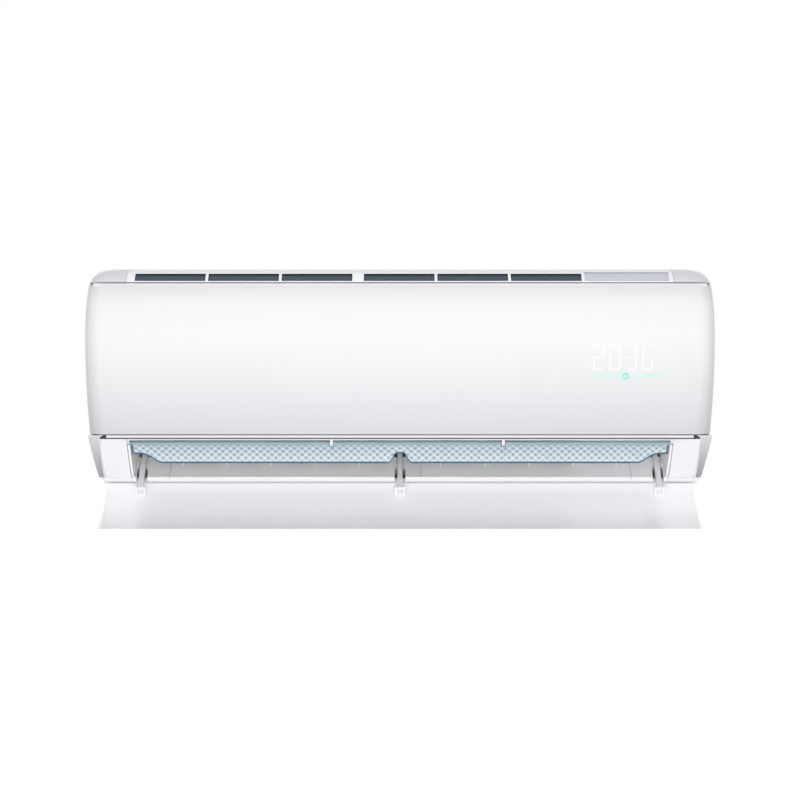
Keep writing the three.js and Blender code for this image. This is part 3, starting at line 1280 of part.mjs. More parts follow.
makeWallPlate();
makeChassis();
makeDrainPan();
makeDrain();
makeFan();
makeMotor();
makeMotorBracket();
makeCoil();
makeLouvers();
makeVane();
makeFlap();
makeArms();
makeDriveShaft();
makeFrontPanel();
makeGrille();
makeSideCovers();
makeTrims();
makeFrontFrame();
makeFilters();
makeElectrics();
makeSteppers();
makePipes();

export default unit;
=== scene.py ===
import math

import bpy
import numpy as np
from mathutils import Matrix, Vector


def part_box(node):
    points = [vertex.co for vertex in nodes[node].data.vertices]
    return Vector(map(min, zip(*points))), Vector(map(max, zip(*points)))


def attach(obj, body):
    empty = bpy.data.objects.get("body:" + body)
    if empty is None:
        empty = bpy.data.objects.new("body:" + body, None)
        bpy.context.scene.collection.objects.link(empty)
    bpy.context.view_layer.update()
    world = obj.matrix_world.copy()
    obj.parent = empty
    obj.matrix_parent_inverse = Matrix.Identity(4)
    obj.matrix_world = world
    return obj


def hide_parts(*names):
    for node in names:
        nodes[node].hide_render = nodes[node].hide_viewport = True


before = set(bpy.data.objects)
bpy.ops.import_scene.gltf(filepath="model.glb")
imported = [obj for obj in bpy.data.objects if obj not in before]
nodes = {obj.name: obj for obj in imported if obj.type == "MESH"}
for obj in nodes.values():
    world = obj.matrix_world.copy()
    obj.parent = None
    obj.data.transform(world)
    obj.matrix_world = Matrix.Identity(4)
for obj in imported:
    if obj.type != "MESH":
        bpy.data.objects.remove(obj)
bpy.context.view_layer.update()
scene = bpy.context.scene

# ---- Camera, lamps and white ground ----
# The unit hangs on a wall and is seen straight on from 2.75 m, level with the lower part of its
# front panel. Wide soft lamps stand round it, and the ground is white where it shows.

CAMERA_PLACE = (0, -2.75, -0.0325)
UNIT_MIDDLE = (0, -0.1, 0)
OUTLET_MIDDLE = (0, -0.12, -0.12)
GROUND_LEVEL = -1.1
GROUND_REACH = 6

scene.view_settings.view_transform = "Standard"
camera_data = bpy.data.cameras.new("camera")
camera_data.lens = 84.3
camera_data.sensor_width = 36
camera = bpy.data.objects.new("camera", camera_data)
camera.location = CAMERA_PLACE
camera.rotation_euler = (math.radians(90), 0, 0)
scene.collection.objects.link(camera)
scene.camera = camera


def soft_lamp(name, place, aim, size, power):
    """A rectangular lamp at place whose face is turned towards aim: tilted down from straight
    below by the angle to the aim, then turned about the upright axis. Gloss doesn't mirror it."""
    lamp = bpy.data.lights.new(name, "AREA")
    lamp.shape = "RECTANGLE"
    lamp.size, lamp.size_y = size
    lamp.energy = power
    stand = bpy.data.objects.new(name, lamp)
    away = np.array(aim, float) - np.array(place, float)
    away /= np.linalg.norm(away)
    stand.rotation_euler = (math.acos(-away[2]), 0, math.atan2(away[0], -away[1]) + math.pi)
    stand.location = place
    stand.visible_glossy = False
    scene.collection.objects.link(stand)


soft_lamp("lamp_above", (0, -1.6, 1.9), UNIT_MIDDLE, (3.0, 1.4), 26)
soft_lamp("lamp_front", (0, -2.6, -0.1), UNIT_MIDDLE, (2.6, 1.2), 14.5)
soft_lamp("lamp_left", (-2.0, -1.0, 0.2), UNIT_MIDDLE, (1.2, 1.6), 2)
soft_lamp("lamp_right", (2.0, -1.0, 0.2), UNIT_MIDDLE, (1.2, 1.6), 2)
soft_lamp("lamp_low", (0, -1.9, -0.6), OUTLET_MIDDLE, (2.0, 0.5), 14)
soft_lamp("lamp_behind", (0, 2.4, 1.0), UNIT_MIDDLE, (2.6, 1.2), 14)


def computed(tree, operation, *values):
    """The result of a math operation on these sockets and decimal numbers."""
    step = tree.nodes.new("ShaderNodeMath")
    step.operation = operation
    for slot, value in zip(step.inputs, values):
        if isinstance(value, float):
            slot.default_value = value
        else:
            tree.links.new(value, slot)
    return step.outputs[0]


def white_where_seen(tree, shaded, white_kind, output):
    """Shows plain white to camera, glossy and transmission rays, and the shaded look to the rest."""
    rays = tree.nodes.new("ShaderNodeLightPath").outputs
    mirrored = computed(tree, "MAXIMUM", rays["Is Glossy Ray"], rays["Is Transmission Ray"])
    white = tree.nodes.new(white_kind)
    white.inputs["Strength"].default_value = 1.0
    white.inputs["Color"].default_value = (1, 1, 1, 1)
    mix = tree.nodes.new("ShaderNodeMixShader")
    tree.links.new(computed(tree, "MAXIMUM", rays["Is Camera Ray"], mirrored), mix.inputs[0])
    tree.links.new(shaded, mix.inputs[1])
    tree.links.new(white.outputs[0], mix.inputs[2])
    tree.links.new(mix.outputs[0], tree.nodes.new(output).inputs["Surface"])


room = bpy.data.worlds.new("studio")
scene.world = room
room.use_nodes = True
room.node_tree.nodes.clear()
room_light = room.node_tree.nodes.new("ShaderNodeBackground")
room_light.inputs["Color"].default_value = (0.97, 0.975, 1.0, 1)
room_light.inputs["Strength"].default_value = 0.3
white_where_seen(room.node_tree, room_light.outputs[0], "ShaderNodeBackground", "ShaderNodeOutputWorld")

ground_mesh = bpy.data.meshes.new("ground")
signs = ((-1, -1), (1, -1), (1, 1), (-1, 1))
corners = [(x * GROUND_REACH, y * GROUND_REACH, GROUND_LEVEL) for x, y in signs]
ground_mesh.from_pydata(corners, [], [(0, 1, 2, 3)])
ground = bpy.data.objects.new("ground", ground_mesh)
scene.collection.objects.link(ground)
ground_look = bpy.data.materials.new("ground_paint")
ground_look.use_nodes = True
ground_look.node_tree.nodes.clear()
matt = ground_look.node_tree.nodes.new("ShaderNodeBsdfDiffuse")
matt.inputs["Color"].default_value = (0.86, 0.86, 0.87, 1)
white_where_seen(ground_look.node_tree, matt.outputs[0], "ShaderNodeEmission", "ShaderNodeOutputMaterial")
ground_mesh.materials.append(ground_look)


# ---- Wall plate ----
# Pressed galvanised steel sheet, screwed to the wall through two rows of slots; three bent hooks
# carry the chassis. The zinc shows as soft crystal patches with a fine drawn grain along it.

def new_look(name, colour, roughness, metallic=0.0, coat=0.0):
    """A material whose shader has these plain values; returns the material, its tree and shader."""
    look = bpy.data.materials.new(name)
    look.use_nodes = True
    tree = look.node_tree
    shader = tree.nodes["Principled BSDF"]
    shader.inputs["Base Color"].default_value = (*colour, 1)
    shader.inputs["Roughness"].default_value = roughness
    shader.inputs["Metallic"].default_value = metallic
    shader.inputs["Coat Weight"].default_value = coat
    shader.inputs["Coat Roughness"].default_value = 0.06
    return look, tree, shader


def place_scaled(tree, scale=(1, 1, 1)):
    """The object's own coordinates, in metres, stretched by scale along each axis."""
    place = tree.nodes.new("ShaderNodeTexCoord")
    stretch = tree.nodes.new("ShaderNodeMapping")
    stretch.inputs["Scale"].default_value = scale
    tree.links.new(place.outputs["Object"], stretch.inputs["Vector"])
    return stretch.outputs[0]


def noise_over(tree, place, scale, detail):
    """A cloudy pattern between 0 and 1, with about scale spots to a unit of place."""
    noise = tree.nodes.new("ShaderNodeTexNoise")
    noise.inputs["Scale"].default_value = scale
    noise.inputs["Detail"].default_value = detail
    tree.links.new(place, noise.inputs["Vector"])
    return noise.outputs["Fac"]


def colour_between(tree, shader, factor, low, high):
    """Base colour that runs from low to high as factor goes from 0 to 1."""
    mix = tree.nodes.new("ShaderNodeMix")
    mix.data_type = "RGBA"
    mix.inputs["A"].default_value = (*low, 1)
    mix.inputs["B"].default_value = (*high, 1)
    tree.links.new(factor, mix.inputs["Factor"])
    tree.links.new(mix.outputs["Result"], shader.inputs["Base Color"])


def spread(tree, factor, low, high, start=0.0, end=1.0):
    """Maps factor from the range start to end onto low to high."""
    ranged = tree.nodes.new("ShaderNodeMapRange")
    ranged.inputs["From Min"].default_value = start
    ranged.inputs["From Max"].default_value = end
    ranged.inputs["To Min"].default_value = low
    ranged.inputs["To Max"].default_value = high
    tree.links.new(factor, ranged.inputs["Value"])
    return ranged.outputs["Result"]


def roughness_between(tree, shader, factor, low, high):
    """Roughness that runs from low to high as factor goes from 0 to 1."""
    tree.links.new(spread(tree, factor, low, high), shader.inputs["Roughness"])


def emboss(tree, shader, height, depth, strength):
    """Raises and sinks the surface's shading by height times depth, in metres."""
    bump = tree.nodes.new("ShaderNodeBump")
    bump.inputs["Distance"].default_value = depth
    bump.inputs["Strength"].default_value = strength
    tree.links.new(height, bump.inputs["Height"])
    tree.links.new(bump.outputs[0], shader.inputs["Normal"])


def shades_of(colour, darker, lighter):
    """A colour times each of two factors, held at white."""
    return [tuple(min(1.0, c * factor) for c in colour) for factor in (darker, lighter)]


def galvanised_steel(name, colour):
    """Zinc crystals of about 6 mm that differ a little in tone, under a drawn grain along X."""
    look, tree, shader = new_look(name, colour, 0.42, metallic=1.0)
    crystals = tree.nodes.new("ShaderNodeTexVoronoi")
    crystals.inputs["Scale"].default_value = 170
    tree.links.new(place_scaled(tree), crystals.inputs["Vector"])
    tone = tree.nodes.new("ShaderNodeSeparateColor")
    tree.links.new(crystals.outputs["Color"], tone.inputs[0])
    colour_between(tree, shader, tone.outputs[0], *shades_of(colour, 0.93, 1.05))
    grain = noise_over(tree, place_scaled(tree, (30, 900, 900)), 1.0, 4)
    roughness_between(tree, shader, grain, 0.34, 0.52)
    emboss(tree, shader, grain, 0.00006, 0.5)
    return look


SOFT_BEND = math.radians(32)
SAME_PLACE = 0.000002


def smoothing_group():
    """Nodes that join a mesh's loose triangles and shade every edge soft that bends by less than
    SOFT_BEND."""
    group = bpy.data.node_groups.new("soft_shading", "GeometryNodeTree")
    for way in ("INPUT", "OUTPUT"):
        group.interface.new_socket("Geometry", in_out=way, socket_type="NodeSocketGeometry")
    start, bare, merge, faces, edges, end = steps = [group.nodes.new(kind) for kind in (
        "NodeGroupInput", "GeometryNodeRemoveAttribute", "GeometryNodeMergeByDistance",
        "GeometryNodeSetShadeSmooth", "GeometryNodeSetShadeSmooth", "NodeGroupOutput")]
    for step, following in zip(steps, steps[1:]):
        group.links.new(step.outputs[0], following.inputs[0])
    bare.inputs["Name"].default_value = "custom_normal"
    merge.inputs["Distance"].default_value = SAME_PLACE
    angle = group.nodes.new("GeometryNodeInputMeshEdgeAngle")
    soft = group.nodes.new("FunctionNodeCompare")
    soft.operation = "LESS_THAN"
    soft.inputs["B"].default_value = SOFT_BEND
    edges.domain = "EDGE"
    group.links.new(angle.outputs["Unsigned Angle"], soft.inputs["A"])
    group.links.new(soft.outputs[0], edges.inputs["Shade Smooth"])
    return group


SOFT_SHADING = smoothing_group()


def shade_by_angle(piece):
    """Soft shading, with sharp edges where the faces bend by more than SOFT_BEND."""
    piece.modifiers.new("soft_shading", "NODES").node_group = SOFT_SHADING


def finish_cad(look, *names):
    """Gives these CAD nodes a material and rounded shading."""
    for name in names:
        node = nodes[name]
        node.data.materials.clear()
        node.data.materials.append(look)
        shade_by_angle(node)


zinc = galvanised_steel("zinc_sheet", (0.63, 0.65, 0.66))
finish_cad(zinc, "wall_plate")


# ---- Chassis, drain pan and its outlets ----
# The chassis is one moulding: back, spiral wall behind the fan, duct floor with three arm slots,
# lower rim and end walls. The pan that catches the coil's water is also the duct's ceiling.

DUCT_SEAMS = (-0.323, 0.0295, 0.3243)
SEAM_HALF_WIDTH = 0.0003
SEAM_MIDDLE = {"Y": -0.115, "Z": -0.121}
SEAM_REACH = {"Y": 0.024, "Z": 0.022}
SEAM_GREY = (0.5, 0.51, 0.53)
STRIPE_EDGE = 0.0002


def moulded_plastic(name, colour, roughness, mottle=0.012):
    """Injection-moulded plastic: its tone drifts by the share mottle over a hand's width, and a
    fine spark-eroded grain of about 0.4 mm breaks up its shine."""
    look, tree, shader = new_look(name, colour, roughness)
    drift = noise_over(tree, place_scaled(tree), 9.0, 3)
    colour_between(tree, shader, drift, *shades_of(colour, 1 - 2 * mottle, 1 + mottle))
    grain = noise_over(tree, place_scaled(tree), 2400.0, 2)
    roughness_between(tree, shader, grain, roughness * 0.85, roughness * 1.15)
    emboss(tree, shader, grain, 0.00004, 0.35)
    return look


def along(tree, axis):
    """The object's own coordinate along one axis, in metres."""
    axes = tree.nodes.new("ShaderNodeSeparateXYZ")
    tree.links.new(place_scaled(tree), axes.inputs[0])
    return axes.outputs[axis]


def past(tree, axis, start, end):
    """0 before start and 1 past end along an axis, rising straight between them."""
    return spread(tree, along(tree, axis), 0.0, 1.0, start, end)


def stripe(tree, axis, centre, half_width):
    """1 within half_width of centre along an axis, falling to 0 over STRIPE_EDGE."""
    off = computed(tree, "ABSOLUTE", computed(tree, "SUBTRACT", along(tree, axis), centre))
    return spread(tree, off, 1.0, 0.0, half_width, half_width + STRIPE_EDGE)


def largest(tree, values):
    """The largest of several values."""
    total = values[0]
    for value in values[1:]:
        total = computed(tree, "MAXIMUM", total, value)
    return total


def paint_over(look, factor, colour):
    """Blends a plain colour over the look's own base colour as factor goes from 0 to 1."""
    tree = look.node_tree
    base = tree.nodes["Principled BSDF"].inputs["Base Color"]
    mix = tree.nodes.new("ShaderNodeMix")
    mix.data_type = "RGBA"
    mix.inputs["B"].default_value = (*colour, 1)
    tree.links.new(factor, mix.inputs["Factor"])
    tree.links.new(base.links[0].from_socket, mix.inputs["A"])
    tree.links.new(mix.outputs["Result"], base)


def chassis_plastic():
    """Satin white with the three faint upright seams that the mould's inserts leave on the duct
    floor, ahead of the fan."""
    look = moulded_plastic("chassis_plastic", (0.96, 0.96, 0.965), 0.38)
    tree = look.node_tree
    seams = largest(tree, [stripe(tree, "X", x, SEAM_HALF_WIDTH) for x in DUCT_SEAMS])
    on_floor = [stripe(tree, axis, SEAM_MIDDLE[axis], SEAM_REACH[axis]) for axis in "YZ"]
    line = computed(tree, "MULTIPLY", seams, computed(tree, "MULTIPLY", *on_floor))
    paint_over(look, line, SEAM_GREY)
    return look


finish_cad(chassis_plastic(), "chassis")
finish_cad(moulded_plastic("drain_pan_plastic", (0.9, 0.91, 0.92), 0.45), "drain_pan")
dark_plastic = moulded_plastic("dark_plastic", (0.035, 0.038, 0.043), 0.5, mottle=0.06)
finish_cad(dark_plastic, "drain_spigot", "drain_plug", "fan_bearing", "terminal_block")


# ---- Cross-flow fan and its motor ----
# A long rotor of grey glass-filled plastic, its curved blades welded into rings. The motor at its
# right end is a steel-jacketed can, held down on the chassis by a white bracket.

finish_cad(moulded_plastic("fan_plastic", (0.075, 0.083, 0.092), 0.5, mottle=0.05), "cross_flow_fan")
finish_cad(moulded_plastic("motor_housing", (0.05, 0.053, 0.058), 0.42, mottle=0.05), "fan_motor")
ground_steel = galvanised_steel("ground_steel", (0.55, 0.56, 0.57))
finish_cad(ground_steel, "motor_shaft")
white_plastic = moulded_plastic("inner_white_plastic", (0.83, 0.84, 0.85), 0.45)
finish_cad(white_plastic, "motor_bracket")


# ---- Coil, tube plates and pipes ----
# Three banks of pressed aluminium fins on copper tubes that turn back outside steel end plates.
# Two copper pipes lead from the coil down to the channel behind the unit and end in flare nuts.

FIN_PITCH = 0.0028
FIN_WALL = 0.0004
PLATE_OUTSIDE = 0.0019
HOOK_REAR, HOOK_TOP = -0.0465, 0.0635
HOOK_EDGE = 0.0005
BEND_EDGE = 0.0002


def join_parts(name, *parts):
    """One mesh object from several (points, faces) parts."""
    points, faces, count = [], [], 0
    for part_points, part_faces in parts:
        flat = np.reshape(part_points, (-1, 3))
        points.append(flat)
        faces += [[corner + count for corner in face] for face in np.asarray(part_faces, object).tolist()]
        count += len(flat)
    mesh = bpy.data.meshes.new(name)
    mesh.from_pydata(np.concatenate(points).tolist(), [], faces)
    piece = bpy.data.objects.new(name, mesh)
    scene.collection.objects.link(piece)
    return piece


def settle(piece, look, body):
    """Gives a new piece its material and the body it moves with."""
    piece.data.materials.append(look)
    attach(piece, body)


def node_corners(name):
    """The corners of a CAD node's mesh, as an array of points."""
    mesh = nodes[name].data
    corners = np.zeros(len(mesh.vertices) * 3)
    mesh.vertices.foreach_get("co", corners)
    return corners.reshape(-1, 3)


def fin_bank(name, node):
    """Thin plates in the outline of the node's left end, which is a rectangle in Y and Z: its four
    corners, in order of their angle about the middle, repeat along X every FIN_PITCH."""
    corners = node_corners(node)
    left, right = corners[:, 0].min(), corners[:, 0].max()
    outline = np.unique(corners[corners[:, 0] < left + SAME_PLACE, 1:].round(5), axis=0)
    off = outline - outline.mean(axis=0)
    outline = outline[np.argsort(np.arctan2(off[:, 1], off[:, 0]))]
    starts = np.arange(left, right - FIN_WALL, FIN_PITCH)
    plates = np.empty((len(starts), 2, 4, 3))
    plates[:, 0, :, 0] = starts[:, None]
    plates[:, 1, :, 0] = starts[:, None] + FIN_WALL
    plates[..., 1:] = outline
    around = np.arange(4)
    after = (around + 1) % 4
    sides = np.stack([around, after, after + 4, around + 4], axis=1)
    plate_faces = np.concatenate([sides, [[3, 2, 1, 0], [4, 5, 6, 7]]])
    faces = (np.arange(len(starts)) * 8)[:, None, None] + plate_faces
    piece = join_parts(name, (plates, faces.reshape(-1, 4)))
    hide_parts(node)
    return piece


fin_look, fin_tree, fin_shader = new_look("fin_aluminium", (0.72, 0.74, 0.76), 0.36, metallic=1.0)
fin_stain = noise_over(fin_tree, place_scaled(fin_tree), 26.0, 4)
colour_between(fin_tree, fin_shader, fin_stain, (0.56, 0.6, 0.64), (0.82, 0.83, 0.84))
fin_ripple = noise_over(fin_tree, place_scaled(fin_tree, (40, 500, 500)), 1.0, 2)
emboss(fin_tree, fin_shader, fin_ripple, 0.0003, 0.6)
for bank in ("front", "upper", "rear"):
    settle(fin_bank(f"fins_{bank}", f"coil_{bank}"), fin_look, "body")


def copper_tube():
    """Drawn copper: fine lines along the tube's length and a patchy brown tarnish."""
    look, tree, shader = new_look("copper_tube", (0.72, 0.38, 0.22), 0.3, metallic=1.0)
    tarnish = noise_over(tree, place_scaled(tree), 45.0, 5)
    colour_between(tree, shader, tarnish, (0.46, 0.2, 0.1), (0.86, 0.5, 0.32))
    roughness_between(tree, shader, tarnish, 0.42, 0.2)
    emboss(tree, shader, noise_over(tree, place_scaled(tree, (60, 900, 900)), 1.0, 3), 0.00005, 0.5)
    return look


def plate_and_bends(name, plate_edge):
    """Zinc sheet on the plate itself, and copper on the bends that stand outside it."""
    look = galvanised_steel(name, (0.62, 0.64, 0.65))
    tree = look.node_tree
    outside = past(tree, "X", plate_edge, plate_edge + math.copysign(BEND_EDGE, plate_edge))
    before_hook = past(tree, "Y", HOOK_REAR + HOOK_EDGE, HOOK_REAR)
    above_hook = past(tree, "Z", HOOK_TOP, HOOK_TOP + HOOK_EDGE)
    beside_hook = computed(tree, "MAXIMUM", before_hook, above_hook)
    paint_over(look, computed(tree, "MULTIPLY", outside, beside_hook), (0.74, 0.36, 0.2))
    return look


coil_left, coil_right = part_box("coil_front")[0][0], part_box("coil_front")[1][0]
finish_cad(plate_and_bends("tube_plate_left_look", coil_left - PLATE_OUTSIDE), "tube_plate_left")
finish_cad(plate_and_bends("tube_plate_right_look", coil_right + PLATE_OUTSIDE), "tube_plate_right")
finish_cad(copper_tube(), "gas_pipe", "liquid_pipe")
brass, brass_tree, brass_shader = new_look("turned_brass", (0.78, 0.58, 0.27), 0.28, metallic=1.0)
turning = noise_over(brass_tree, place_scaled(brass_tree, (1600, 60, 60)), 1.0, 3)
colour_between(brass_tree, brass_shader, turning, (0.66, 0.46, 0.19), (0.86, 0.68, 0.36))
emboss(brass_tree, brass_shader, turning, 0.00008, 0.6)
finish_cad(brass, "gas_flare_nut", "liquid_flare_nut")
finish_cad(white_plastic, "pipe_clip")


# ---- Louvers, their links and motors ----
# Ten upright white blades stand in the duct on short pivots. A flat bar links the five of each
# group, and a small steel-cased stepping motor under the duct floor turns each group.

louver_plastic = moulded_plastic("louver_plastic", (0.9, 0.91, 0.92), 0.36)
for group in ("left", "right"):
    finish_cad(louver_plastic, f"link_bar_{group}", *(f"louver_{group}_{i}" for i in range(1, 6)))
finish_cad(galvanised_steel("motor_can", (0.6, 0.61, 0.62)),
           "louver_motor_left", "louver_motor_right", "vane_motor", "flap_motor")


# ---- Inner vane ----
# A clear plastic blade tinted pale blue, with staggered rows of small raised pyramids on its room
# side and a deeper blue line along its lower edge. It turns on pins at both ends and two hangers.

VANE_AXIS = np.array((-0.175, -0.092))
VANE_PIN_REACH = 0.0044
VANE_HALF_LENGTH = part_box("inner_vane")[1][0] - VANE_PIN_REACH
VANE_PIN_RADIUS = 0.0019
VANE_SPINE_RADIUS = 0.0028
VANE_DEPTH = 0.034
VANE_WALL = 0.0016
VANE_TILT = math.radians(36)
VANE_TOP = -0.003
VANE_RIM = 0.0026
BOW_DEPTH, BOW_START, BOW_LENGTH = 0.008, -0.0032, 0.0382
HANGERS = (-0.094, 0.142)
HANGER_HALF_WIDTH = 0.0031
HANGER_FOOT = 0.006
ARM_OFFSET = 0.362
MIDDLE_NOTCH, END_NOTCH = 0.0182, 0.019
STUD_ACROSS, STUD_DOWN = 0.0104, 0.011
STUD_ROW = 0.004
STUD_TOP = 0.0035
STUD_HEIGHT = 0.0011


def vane_foot(x):
    """How far the blade reaches below its axis, drawn up at both ends and over the middle arm: a
    broken line through these places and depths, its corners rounded by a running average."""
    near_arm = [ARM_OFFSET + step for step in (-0.03, -0.014, -0.006, 0.038)]
    places = [0, 0.0072, 0.0132, *near_arm]
    depths = [MIDDLE_NOTCH, MIDDLE_NOTCH, VANE_DEPTH, VANE_DEPTH, 0.0222, END_NOTCH, END_NOTCH]
    offsets = np.linspace(-0.003, 0.003, 9)
    return np.interp(np.abs(x)[:, None] + offsets, places, depths).mean(axis=1)


def vane_head(x):
    """The blade's upper edge, cut down round each hanger."""
    head = np.full_like(x, VANE_TOP)
    for hanger in HANGERS:
        head = np.where(np.abs(x - hanger) < HANGER_HALF_WIDTH, HANGER_FOOT, head)
    return head


def grid(x, y, z):
    """Points from their three coordinates, each repeated where it lacks rows or columns."""
    return np.stack(np.broadcast_arrays(x, y, z), axis=-1)


def turned_vane(x, back, drop):
    """Points of the blade in place: back is the distance behind its axis and drop the distance
    below it, both turned about the axis by the vane's tilt."""
    y = back * math.cos(VANE_TILT) + drop * math.sin(VANE_TILT)
    z = back * math.sin(VANE_TILT) - drop * math.cos(VANE_TILT)
    return grid(x, VANE_AXIS[0] + y, VANE_AXIS[1] + z)


def ramp(value, length):
    """0 below 0, rising straight to 1 over the length."""
    return np.clip(value / length, 0, 1)


def shell(outer, inner):
    """A closed shell as points and faces: two grids of points of equal size, with a band between
    their borders. Seen from outside, the outer one's rows run down and its columns to the right."""
    rows, columns = outer.shape[:2]
    index = np.arange(rows * columns).reshape(rows, columns)
    behind = index + rows * columns

    def quads(sheet):
        around = [sheet[:-1, :-1], sheet[1:, :-1], sheet[1:, 1:], sheet[:-1, 1:]]
        return np.stack(around, axis=-1).reshape(-1, 4)

    def border(sheet):
        return np.concatenate([sheet[0], sheet[1:, -1], sheet[-1, -2::-1], sheet[-2:0:-1, 0]])

    rim, rim_in = border(index), border(behind)
    band = np.stack([rim, np.roll(rim, -1), np.roll(rim_in, -1), rim_in], axis=-1)
    points = np.concatenate([outer.reshape(-1, 3), inner.reshape(-1, 3)])
    return points, np.concatenate([quads(index), quads(behind)[:, ::-1], band])


def vane_blade():
    """Two sheets that follow a shallow bow, BOW_DEPTH x t(1-t) for t from head to foot. The room
    side is raised by cos(2 pi x / across) cos(2 pi drop / down) where that is positive."""
    columns, rows = 640, 36
    x = np.linspace(-VANE_HALF_LENGTH, VANE_HALF_LENGTH, columns)
    for hanger in HANGERS:
        for edge in (hanger - HANGER_HALF_WIDTH, hanger + HANGER_HALF_WIDTH):
            x[np.argmin(np.abs(x - edge))] = edge
    head, foot = vane_head(x), vane_foot(x)
    share = np.linspace(0, 1, rows)[:, None] ** 0.85
    drop = head + (foot - head) * share
    t = (drop - BOW_START) / BOW_LENGTH
    bow = BOW_DEPTH * t * (1 - t)
    along_x = np.broadcast_to(x, drop.shape)
    wave = np.cos(2 * np.pi * along_x / STUD_ACROSS) * np.cos(2 * np.pi * (drop - STUD_ROW) / STUD_DOWN)
    to_edge = np.minimum(foot - drop, VANE_HALF_LENGTH - np.abs(along_x))
    field = ramp(to_edge - VANE_RIM, 0.0012) * ramp(drop - STUD_TOP, 0.001)
    # The stud mask also carries a painted highlight onto the studs' tops, and the hollow mask carries painted
    # shade into the hollows between them.
    stud = np.clip(wave, 0, 1) ** 0.7 * field
    hollow_shade = np.clip(-wave, 0, 1) * field
    room_side = turned_vane(along_x, bow - VANE_WALL / 2 - STUD_HEIGHT * stud, drop)
    duct_side = turned_vane(along_x, bow + VANE_WALL / 2, drop)
    edge_line = ramp(VANE_RIM - to_edge, 0.0007)
    marks = {"edge_line": edge_line, "stud": stud, "hollow_shade": hollow_shade, "down": share + 0 * along_x}
    return shell(room_side, duct_side), marks


def rods(centre, radius, spans, sides=20):
    """Closed round rods along X about one centre line in Y and Z: a ring of sides at each end of
    each span, and a fan of faces to a middle point that closes it."""
    turn = np.linspace(0, 2 * np.pi, sides, endpoint=False)
    ring = np.stack([centre[0] + radius * np.cos(turn), centre[1] + radius * np.sin(turn)], axis=-1)
    here = np.arange(sides)
    after = (here + 1) % sides
    wall = np.stack([here, after, after + sides, here + sides], axis=-1)
    near = np.stack([after, here, np.full(sides, 2 * sides)], axis=-1)
    far = np.stack([here + sides, after + sides, np.full(sides, 2 * sides + 1)], axis=-1)
    for x0, x1 in spans:
        both = [np.column_stack([np.full(sides, x), ring]) for x in (x0, x1)]
        points = np.concatenate([*both, [[x0, *centre], [x1, *centre]]])
        yield points, wall.tolist() + near.tolist() + far.tolist()


def mark_corners(piece, **values):
    """Stores named values on a piece that begins with a shell: the same value on the outer and the
    inner sheet, and 0 on the rest."""
    for name, sheet in values.items():
        marks = np.zeros(len(piece.data.vertices), np.float32)
        marks[:2 * sheet.size] = np.tile(sheet.ravel(), 2)
        piece.data.attributes.new(name, "FLOAT", "POINT").data.foreach_set("value", marks)


def marked(tree, name):
    """A value that the mesh carries at each of its corners."""
    value = tree.nodes.new("ShaderNodeAttribute")
    value.attribute_name = name
    return value.outputs["Fac"]


blade, blade_marks = vane_blade()
hanger_edges = [hanger + side * HANGER_HALF_WIDTH for hanger in HANGERS for side in (-1, 1)]
spine_ends = [-VANE_HALF_LENGTH, *hanger_edges, VANE_HALF_LENGTH]
spine = rods(VANE_AXIS, VANE_SPINE_RADIUS, zip(spine_ends[::2], spine_ends[1::2]))
pin_end = VANE_HALF_LENGTH + VANE_PIN_REACH
vane = join_parts("vane_blade", blade, *spine, *rods(VANE_AXIS, VANE_PIN_RADIUS, [(-pin_end, pin_end)]))
mark_corners(vane, **blade_marks)
shade_by_angle(vane)
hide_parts("inner_vane")

tint, tint_tree, tint_shader = new_look("clear_blue_plastic", (0.62, 0.82, 0.9), 0.12)
tint_shader.inputs["Transmission Weight"].default_value = 0.3
tint_shader.inputs["IOR"].default_value = 1.46
# Painted shade: the blade is coloured darker towards its head, under the panel, and lighter towards its foot.
# The studs' tops get a painted highlight and the hollows between them get painted shade.
colour_between(tint_tree, tint_shader, marked(tint_tree, "down"), (0.46, 0.61, 0.7), (0.9, 0.97, 1.0))
paint_over(tint, marked(tint_tree, "stud"), (0.93, 0.98, 1.0))
paint_over(tint, marked(tint_tree, "hollow_shade"), (0.27, 0.4, 0.48))
paint_over(tint, marked(tint_tree, "edge_line"), (0.012, 0.14, 0.27))
emboss(tint_tree, tint_shader, noise_over(tint_tree, place_scaled(tint_tree), 700.0, 2), 0.00003, 0.4)
settle(vane, tint, "vane")


# ---- Flap arms and their drive ----
# Three curved white arms carry the flap. A rack under each meshes with a pinion on one long steel
# shaft, which a geared motor turns at its left end.

finish_cad(moulded_plastic("hanger_white", (0.87, 0.88, 0.89), 0.3), "arm_left", "arm_centre", "arm_right")
finish_cad(ground_steel, "drive_shaft")


# ---- Outlet flap ----
# One wide gloss-white moulding that closes the outlet's mouth. Its back is hollowed a little
# inside a raised border, and swells softly under each of the three pairs of hinge ears.

FLAP_REAR = np.array((-0.1125, -0.153))
FLAP_REAR_PULL = np.array((-0.032, 0))
FLAP_FRONT = np.array((-0.190, -0.088))
FLAP_FRONT_PULL = np.array((0.0201, -0.0287))
FLAP_HALF_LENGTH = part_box("outlet_flap")[1][0] - 0.0002
FLAP_BORDER = 0.0035
FLAP_FIELD = 0.0019
BORDER_FRONT = 0.0042
BORDER_END_REAR, BORDER_END_FRONT = 0.0018, 0.006
BORDER_EDGE = 0.0014
SWELL_HEIGHT = 0.0026
SWELL_MIDDLE = -0.124
SWELL_ACROSS, SWELL_BACK = 0.007, 0.012
HINGE_SHUT = np.array((-0.121, -0.1415))
KNUCKLE_RADIUS = 0.0034
EAR_INSIDE, EAR_OUTSIDE = 0.0041, 0.0067
FLAP_OPEN_ANGLE = math.radians(77.4)
ARM_DROP = math.radians(41.2)
ARM_OUT = np.array((-math.cos(ARM_DROP), -math.sin(ARM_DROP)))
ARM_TRAVEL = 0.02126


